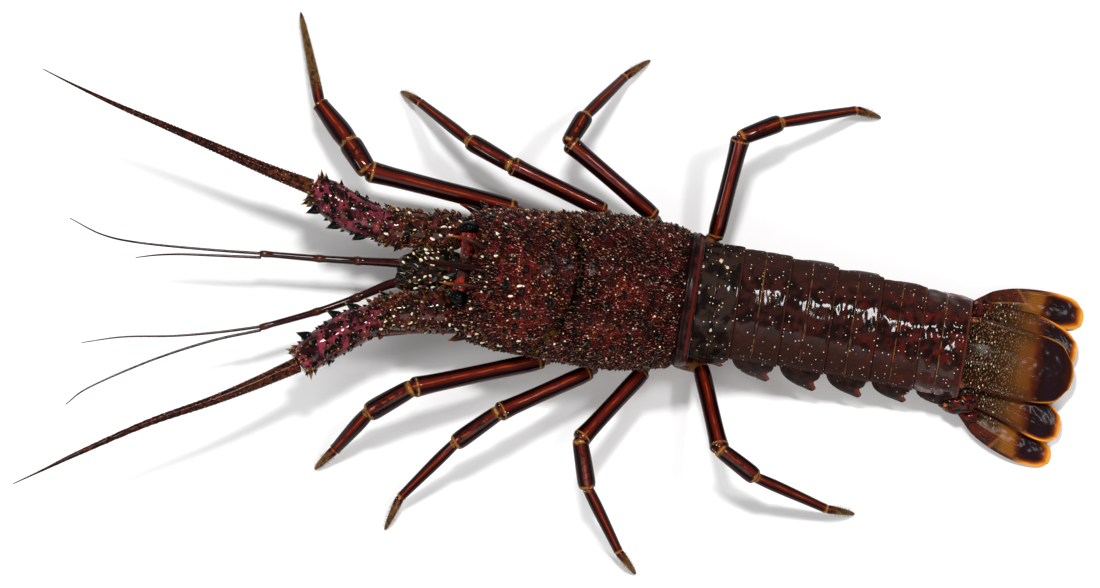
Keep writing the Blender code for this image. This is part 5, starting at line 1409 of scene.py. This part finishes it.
colour = blade.mix(hard * 0.85, colour, blade.mix(blade.fade(blade.cloud(3.0, 3.0), 0.4, 0.6),
                                                  (0.030, 0.009, 0.007), (0.085, 0.012, 0.007)))
suture = 4 * hard * (1 - hard)
colour = blade.mix(suture * 0.8, colour, (0.22, 0.075, 0.012))
lift = ribbed * ribs * 0.35 * (1 - late * 0.6) + speckled * 0.5 + blade.cloud(0.8, 2.0) * 0.3 * (1 - late * 0.9)
fan_blade = blade.wear(base_color=colour, roughness=0.24 + 0.22 * blade.cloud(2.0, 2.0),
                       normal=blade.relief(lift, 0.28))


stump = Finish("stump_shell", specular_ior_level=0.0, coat_ior=1.22, coat_weight=1.0, coat_roughness=0.06)
blush = stump.fade(stump.cloud(2.5, 3.0), 0.42, 0.6)
colour = stump.mix(blush, (0.006, 0.003, 0.002), (0.070, 0.007, 0.0045))
knob = stump.fade(stump.cloud(3.0, 1.0, 44.0), 0.66, 0.74)
colour = stump.mix(knob, colour, (0.34, 0.075, 0.012))
stump_shell = stump.wear(base_color=colour, roughness=0.15 + 0.15 * stump.cloud(1.5, 2.0),
                         normal=stump.relief(stump.cloud(1.2, 3.0), 0.3))
knuckle = Finish("knuckle_shell", specular_ior_level=0.0, coat_ior=1.4, coat_weight=1.0, coat_roughness=0.05)
scorch = knuckle.fade(knuckle.cloud(1.6, 2.0), 0.42, 0.62)
knuckle_shell = knuckle.wear(base_color=knuckle.mix(scorch, (0.30, 0.050, 0.008), (0.10, 0.010, 0.004)),
                             roughness=0.15 + 0.2 * scorch)


def fan_piece(name, outline, heights, thicknesses, ribs, hard_side, keel, brim):
    """One blade with a rounded end, and how far each point lies from its edge."""
    rows = [(*station, height, thick) for station, height, thick in zip(outline, heights, thicknesses)]
    first, last = rows[0][0], rows[-1][0]
    upper, lower, lay, hard = [], [], [], []
    for i in range(BLADE_ROWS + 1):
        t = math.sin(i / BLADE_ROWS * math.pi / 2) ** 1.2
        px = first + (last - first) * t
        middle, half, height, thick = on_curve(rows, px)
        row_up, row_low = [], []
        rounding = half * 0.2 * smooth(t, 0.85, 1.0)
        for j in range(BLADE_COLUMNS):
            v = 2.0 * j / (BLADE_COLUMNS - 1) - 1.0
            v = math.copysign(1 - (1 - abs(v)) ** 1.3, v)
            body = max(0.0, 1.0 - v * v)
            depth = 0.3 + (thick - 0.3) * math.sqrt(body)
            crown = body * half * 0.04
            frill = 0.12 * noise.noise(Vector((px, v * half, 0.0)) / 2.5) * smooth(t, 0.3, 0.6)
            ridge = 0.28 * bell(half * (1 - abs(v)) - 0.9, 0.6) * (1 - smooth(t, 0.6, 0.8)) * smooth(t, 0.0, 0.1)
            for line, rise, width in keel:
                ridge += rise * bell(v - line, width) * (1 - smooth(t, 0.62, 0.86))
            spot_y = middle + half * v
            back = px - rounding * v * v
            row_up.append((back, spot_y, max(height + crown + depth / 2 + frill + ridge, depth)))
            row_low.append((back, spot_y, max(height + crown - depth / 2 + frill, 0.0)))
            lay.append((v, min(half * (1 - abs(v)) * (2.0 - smooth(t, 0.80, 0.95)), last - px), t))
            firm = smooth(v * hard_side, -0.10, 0.04) * (1 - smooth(t + 0.10 * v * hard_side, 0.46, 0.50))
            hard.append(firm if hard_side else 0.0)
        upper.append(row_up)
        lower.append(row_low)
    points, faces = sheet(upper, lower)
    return new_piece(name + "_blade", points, faces, fan_blade, lay=lay + lay, hard=hard + hard,
                     ribs=[float(ribs)] * len(points), brim=[brim] * len(points))


for side, spots in STUMPS.items():
    for number, spot in enumerate(spots + KNUCKLES[side]):
        px, py, pz, long, wide, tall = spot
        rings = []
        for i in range(1, 24):
            turn = math.pi * i / 24
            ring = []
            for j in range(32):
                angle = 2 * math.pi * j / 32
                p = Vector((px - long * math.cos(turn), py + wide * math.sin(turn) * math.cos(angle),
                            pz + tall * math.sin(turn) * math.sin(angle)))
                ring.append(p + (p - Vector((px, py, pz))) * 0.16 * noise.noise(p / 2.5))
            rings.append(ring)
        finish = knuckle_shell if spot in KNUCKLES[side] else stump_shell
        fitted(new_piece("stump_%s_%d" % (side, number), *skin(rings), finish), "fan")
fitted(fan_piece("telson", TELSON, TELSON_HEIGHTS, TELSON_THICKNESS, 130, 0,
                 ((-0.35, 0.25, 0.05), (0.35, 0.25, 0.05)), 0.5), "fan", "telson")
for side, sign in SIDES.items():
    inner = fan_piece("endopod_" + side, ENDOPOD[side], ENDOPOD_HEIGHTS, UROPOD_THICKNESS, 75, 0,
                      ((0.1 * sign, 0.5, 0.10), (0.3 * sign, 0.3, 0.06)), 0.9)
    fitted(inner, "fan", "endopod_" + side)
    outer = fan_piece("exopod_" + side, EXOPOD[side], EXOPOD_HEIGHTS, UROPOD_THICKNESS, 62, sign,
                      ((0.45 * sign, 0.6, 0.10), (0.2 * sign, 0.3, 0.06)), 1.3)
    fitted(outer, "fan", "exopod_" + side)


# Walking legs. Ten slim legs of polished shell, maroon-black with lengthwise orange stripes whose bright
# cores are partly a painted highlight, golden rings at the joints, and a hairy brown claw. Each is built
# piece by piece from hip to toe.
LEGS = {
    "leg_right_1": (28.0, [(24.5, 18.4, 17.6), (17.2, 28.9, 23.0), (-43.9, 33.5, 30.0),
                           (-52.9, 44.2, 27.0), (-67.1, 59.1, 20.0), (-81.0, 98.2, 0.5)]),
    "leg_right_2": (42.0, [(41.5, 16.6, 13.4), (36.0, 19.5, 10.0), (-12.0, 20.5, 5.2),
                           (-18.0, 5.5, 4.4), (4.0, 2.5, 3.4), (15.0, 2.5, 0.5)]),
    "leg_right_3": (56.0, [(54.6, 20.6, 17.2), (52.7, 33.6, 23.5), (12.8, 44.6, 32.0),
                           (-5.3, 52.6, 26.0), (-27.7, 68.2, 7.6), (-36.0, 72.6, 0.5)]),
    "leg_right_4": (70.0, [(71.0, 22.2, 17.0), (72.9, 34.5, 23.5), (34.2, 57.0, 34.0),
                           (39.1, 69.8, 28.0), (52.5, 91.6, 8.0), (61.6, 101.2, 0.5)]),
    "leg_right_5": (84.0, [(90.0, 20.8, 14.8), (98.4, 30.1, 20.0), (102.2, 70.1, 33.0),
                           (117.0, 79.5, 28.0), (147.0, 93.0, 7.4), (157.2, 92.6, 0.5)]),
    "leg_left_1": (28.0, [(26.0, -14.4, 16.0), (18.0, -17.6, 15.6), (-36.0, -26.8, 20.0),
                          (-41.0, -27.4, 9.6), (-16.0, -21.8, 4.8), (19.0, -12.8, 0.5)]),
    "leg_left_2": (42.0, [(40.6, -18.8, 17.0), (37.4, -30.4, 22.5), (-12.5, -51.0, 32.0),
                          (-28.1, -62.5, 24.0), (-39.4, -77.2, 8.0), (-46.0, -85.1, 0.5)]),
    "leg_left_3": (56.0, [(56.0, -20.4, 17.0), (56.9, -32.0, 22.5), (23.3, -55.6, 33.0),
                          (8.2, -69.4, 26.0), (-10.4, -92.2, 8.0), (-14.4, -105.0, 0.5)]),
    "leg_left_4": (70.0, [(72.8, -19.6, 16.6), (78.2, -28.3, 21.6), (57.3, -61.4, 33.0),
                          (63.2, -78.9, 26.0), (79.8, -100.0, 7.4), (87.9, -106.8, 0.5)]),
    "leg_left_5": (84.0, [(90.2, -19.8, 12.6), (100.7, -21.4, 14.2), (113.2, -56.1, 32.0),
                          (129.1, -64.1, 26.0), (159.7, -69.6, 7.4), (171.2, -68.8, 0.5)]),
}
LEG_RADII = {
    "1": (3.9, 4.4, 4.3, 2.3),
    "2": (3.7, 3.9, 3.0, 2.0),
    "3": (3.5, 3.4, 2.4, 1.8),
    "4": (3.5, 3.4, 2.4, 1.8),
    "5": (3.5, 3.4, 2.4, 1.8),
}
HIP = (2.7, 15.9, 0.3)
# Along each piece: share of its length, share of its radius
HIP_PROFILE = [(-0.05, 0.6), (0.0, 0.95), (0.3, 1.05), (0.7, 1.0), (0.95, 1.05), (1.03, 0.7)]
MERUS_PROFILE = [(-0.015, 0.5), (0.0, 0.84), (0.05, 0.94), (0.12, 1.0), (0.5, 0.97), (0.82, 1.02),
                 (0.93, 1.10), (0.972, 1.14), (0.985, 1.06), (1.0, 0.92), (1.012, 0.5)]
CARPUS_PROFILE = [(-0.08, 0.45), (-0.02, 0.82), (0.06, 0.94), (0.35, 1.02), (0.80, 1.08), (0.93, 1.04),
                  (1.0, 0.9), (1.04, 0.5)]
PROPODUS_PROFILE = [(-0.04, 0.5), (0.0, 0.86), (0.06, 0.95), (0.3, 1.02), (0.75, 0.86), (0.94, 0.78),
                    (0.985, 0.80), (1.0, 0.6)]
DACTYL_PROFILE = [(-0.03, 0.5), (0.0, 0.86), (0.1, 1.0), (0.45, 0.80), (0.8, 0.55), (0.95, 0.34), (1.0, 0.12)]
PIECE_ROWS = {"hip": 16, "merus": 70, "carpus": 34, "propodus": 44, "dactyl": 36}
LEG_SIDES = 24

leg = Finish("leg_shell", specular_ior_level=0.0, coat_ior=1.3, coat_weight=0.7, coat_roughness=0.05)
across, up, along = leg.axes(leg.kept("lay"))
kind = leg.kept("kind", "Fac")
turn = leg.node("ShaderNodeMath", {"operation": "ARCTAN2"}, {0: up, 1: across})
sway = (leg.cloud(9.0, 2.0) - 0.5) * 1.1
# Lengthwise orange stripes of the shell's own colour; their bright orange cores also stand in for the highlight line,
# a painted highlight.
stripes = 0.5 + 0.5 * leg.node("ShaderNodeMath", {"operation": "COSINE"}, {0: turn * 4.0 + sway})
stripe_and_highlight = leg.fade(stripes, 0.95, 1.0)
glow = leg.fade(leg.cloud(6.0, 3.0, 17.0), 0.36, 0.60)
colour = leg.mix(leg.fade(stripes, 0.15, 0.95), (0.006, 0.0012, 0.0012), (0.085, 0.006, 0.0035))
colour = leg.mix(stripe_and_highlight * (0.12 + 0.88 * glow), colour, (0.24, 0.038, 0.007))
dark_knee = leg.fade(leg.cloud(2.0, 3.0, 5.0), 0.48, 0.6) * leg.fade(kind, 1.2, 1.8) * leg.fade(kind, 2.8, 2.2)
colour = leg.mix(dark_knee * 0.8, colour, (0.008, 0.004, 0.004))
ends = leg.fade(along, 0.905, 0.935) + leg.fade(along, 0.045, 0.02)
ends = leg.node("ShaderNodeMath", {"operation": "MINIMUM"}, {0: ends, 1: 1.0})
ring = leg.kept("joint", "Fac")
colour = leg.mix(ring * leg.fade(leg.cloud(1.5, 2.0, 31.0), 0.30, 0.55), colour, (0.34, 0.14, 0.022))
fleck = (1 - leg.fade(leg.cells(1.3), 0.12, 0.22)) * leg.fade(leg.cells(1.3, output="Color")[0], 0.70, 0.74)
colour = leg.mix(fleck * ends, colour, (0.80, 0.62, 0.36))
claw = leg.fade(kind, 3.5, 4.0)
brown = leg.mix(leg.fade(leg.cloud(1.2, 3.0, spot=leg.stretched((1.5, 1.5, 3.0))), 0.42, 0.62),
                (0.12, 0.050, 0.012), (0.030, 0.011, 0.005))
colour = leg.mix(claw * leg.fade(along, 0.02, 0.30), colour, brown)
hip_tone = leg.mix(leg.fade(leg.cloud(2.5, 2.0, 3.0), 0.4, 0.6), (0.14, 0.050, 0.015), (0.025, 0.007, 0.004))
colour = leg.mix(leg.fade(kind, 0.7, 0.2), colour, hip_tone)
leg_shell = leg.wear(base_color=colour, roughness=0.12 + 0.18 * leg.cloud(2.4, 3.0) + 0.2 * claw,
                     normal=leg.relief(leg.cloud(1.3, 3.0) + fleck * ends, 0.12))


def limb(start, end, profile, radius, rows, depth, kind, bow=0.0, rings_at=()):
    """Rings, lay, kind and joint colour of one straight piece of a leg, slightly bowed."""
    start, end = Vector(start), Vector(end)
    first, last = profile[0][0], profile[-1][0]
    axis = (end - start).normalized()
    side = axis.cross(UP).normalized()
    rise = side.cross(axis)
    rings, lay, joint = [], [], []
    for i in range(rows + 1):
        s = i / rows
        t = first + (last - first) * (s - math.sin(4 * math.pi * s) / (4 * math.pi) * 0.6)
        size = on_curve(profile, t)[0] * radius
        centre = start.lerp(end, t) + rise * bow * math.sin(math.pi * min(max(t, 0.0), 1.0))
        mark = max([bell(t - place, width) for place, width in rings_at] or [0.0])
        ring = []
        for j in range(LEG_SIDES):
            angle = 2 * math.pi * (j + 0.5) / LEG_SIDES
            p = centre + side * math.cos(angle) * size + rise * math.sin(angle) * size * depth
            ring.append(Vector((p.x, p.y, max(p.z, 0.0))))
            lay.append((math.cos(angle), math.sin(angle), min(max(t, 0.0), 1.0)))
            joint.append(mark)
        rings.append(ring)
    points, faces = skin(rings)
    lay += [(0.0, 0.0, 0.0), (0.0, 0.0, 1.0)]
    joint += [0.0, 0.0]
    return points, faces, lay, [float(kind)] * len(points), joint


def joined(parts):
    """Several closed shapes as the points, faces and values of one piece."""
    points, faces, lay, kinds, joints = [], [], [], [], []
    for part_points, part_faces, part_lay, part_kind, part_joint in parts:
        base = len(points)
        points += part_points
        faces += [tuple(base + index for index in face) for face in part_faces]
        lay += part_lay
        kinds += part_kind
        joints += part_joint
    return points, faces, dict(lay=lay, kind=kinds, joint=joints)


claws = []
for name, (hip_x, joints) in LEGS.items():
    sign = 1.0 if "right" in name else -1.0
    merus, carpus, propodus, dactyl = LEG_RADII[name[-1]]
    coxa, start, knee, ankle, shin_end, toe = [Vector(p) for p in joints]
    hip_radius, hip_height, hip_gap = HIP
    hip = Vector((hip_x, sign * (sternum_half(hip_x) + hip_gap), hip_height))
    rows = PIECE_ROWS
    merus_rings = ((0.968, 0.006), (0.03, 0.006))
    upper = [
        limb(hip, coxa, HIP_PROFILE, hip_radius * 1.2, rows["hip"], 1.0, 0),
        limb(coxa, start, HIP_PROFILE, merus * 0.92, rows["hip"], 1.0, 0),
        limb(start, knee, MERUS_PROFILE, merus, rows["merus"], 1.0, 1, 0.3, merus_rings),
    ]
    points, faces, carried = joined(upper)
    fitted(new_piece(name + "_upper_shell", points, faces, leg_shell, **carried), "leg", name + "_upper")
    lower = [
        limb(knee, ankle, CARPUS_PROFILE, carpus, rows["carpus"], 0.95, 2, 0.4, ((0.0, 0.03), (0.97, 0.02))),
        limb(ankle, shin_end, PROPODUS_PROFILE, propodus, rows["propodus"], 0.92, 3, 0.3,
             ((0.0, 0.02), (0.975, 0.014))),
        limb(shin_end, toe, DACTYL_PROFILE, dactyl, rows["dactyl"], 1.0, 4, 0.8),
    ]
    points, faces, carried = joined(lower)
    fitted(new_piece(name + "_lower_shell", points, faces, leg_shell, **carried), "leg", name + "_lower")
    claws.append(lower[-1])
points, faces, carried = joined(claws)
host = new_piece("claw_places", points, faces, None, cover=[smooth(p[2], 0.10, 0.35) * smooth(q.z, 2.0, 3.5) for p, q in zip(carried["lay"], points)])
fitted(sown("claw_hair", host, bristle_shape, gold_hair, (0.62, 0.7, 1.5, 0.06), Vector((0.0, 0.0, -0.7)), 0.3, 50),
       "leg")
bpy.data.objects.remove(host)


# Ground, lights and camera. A white studio table under soft boxes, seen from almost overhead
# as the animal was photographed.
FLOOR_SIZE = 6.0
SHEET_TURN = math.radians(9.0)
VIEW_TILT = math.radians(9.0)
VIEW_POINT = (36.3, 0.0, 46.0)
VIEW_DROP = -6.8
VIEW_DISTANCE = 6000.0
VIEW_WIDTH = 440.0

table = Finish("table_white", roughness=0.6)
table_white = table.wear(base_color=table.mix(table.cloud(400.0, 2.0), (0.86, 0.86, 0.86), (0.90, 0.90, 0.90)))
half = FLOOR_SIZE / 2
mesh = bpy.data.meshes.new("table")
mesh.from_pydata([(-half, -half, 0), (half, -half, 0), (half, half, 0), (-half, half, 0)], [], [(0, 1, 2, 3)])
mesh.materials.append(table_white)
ground = bpy.data.objects.new("table", mesh)
bpy.context.scene.collection.objects.link(ground)

world = bpy.data.worlds.new("studio")
bpy.context.scene.world = world
world.use_nodes = True
world.node_tree.nodes["Background"].inputs["Color"].default_value = (1.0, 1.0, 1.0, 1.0)
world.node_tree.nodes["Background"].inputs["Strength"].default_value = 0.30


def soft_box(name, place, aim, size, power):
    """Rectangular area light."""
    lamp = bpy.data.lights.new(name, "AREA")
    lamp.shape = "RECTANGLE"
    lamp.size, lamp.size_y = size
    lamp.energy = power
    box = bpy.data.objects.new(name, lamp)
    box.location = place
    box.rotation_mode = "QUATERNION"
    box.rotation_quaternion = (Vector(aim) - Vector(place)).to_track_quat("-Z", "Y")
    bpy.context.scene.collection.objects.link(box)


soft_box("key", (-0.10, 0.36, 1.25), (0.0, 0.0, 0.03), (0.19, 0.14), 11.0)
soft_box("tail_key", (0.62, 0.30, 1.20), (0.11, 0.0, 0.03), (0.17, 0.12), 5.0)
soft_box("fill", (0.20, -1.05, 1.15), (0.0, 0.0, 0.03), (1.40, 0.80), 9.0)
soft_box("edge", (-0.85, -0.35, 0.7), (0.0, 0.0, 0.03), (0.30, 0.20), 2.5)

right = Vector((1.0, 0.0, 0.0))
rise = Vector((0.0, math.cos(VIEW_TILT), math.sin(VIEW_TILT)))
across = right * math.cos(SHEET_TURN) + rise * math.sin(SHEET_TURN)
up = rise * math.cos(SHEET_TURN) - right * math.sin(SHEET_TURN)
back = across.cross(up)
lens = bpy.data.cameras.new("view")
lens.sensor_width = 36.0
lens.lens = 36.0 * VIEW_DISTANCE / VIEW_WIDTH
lens.clip_end = 100.0
view = bpy.data.objects.new("view", lens)
aim = Vector(VIEW_POINT) + rise * VIEW_DROP
view.location = ORIGIN + (aim + back * VIEW_DISTANCE) * MM
view.rotation_mode = "QUATERNION"
view.rotation_quaternion = Matrix((across, up, back)).transposed().to_quaternion()
bpy.context.scene.collection.objects.link(view)
bpy.context.scene.camera = view
bpy.context.scene.view_settings.view_transform = "Standard"

for pattern in (thorn_shape, boss_shape, nub_shape, pearl_shape, bristle_shape, comma_shape):
    bpy.data.objects.remove(pattern)
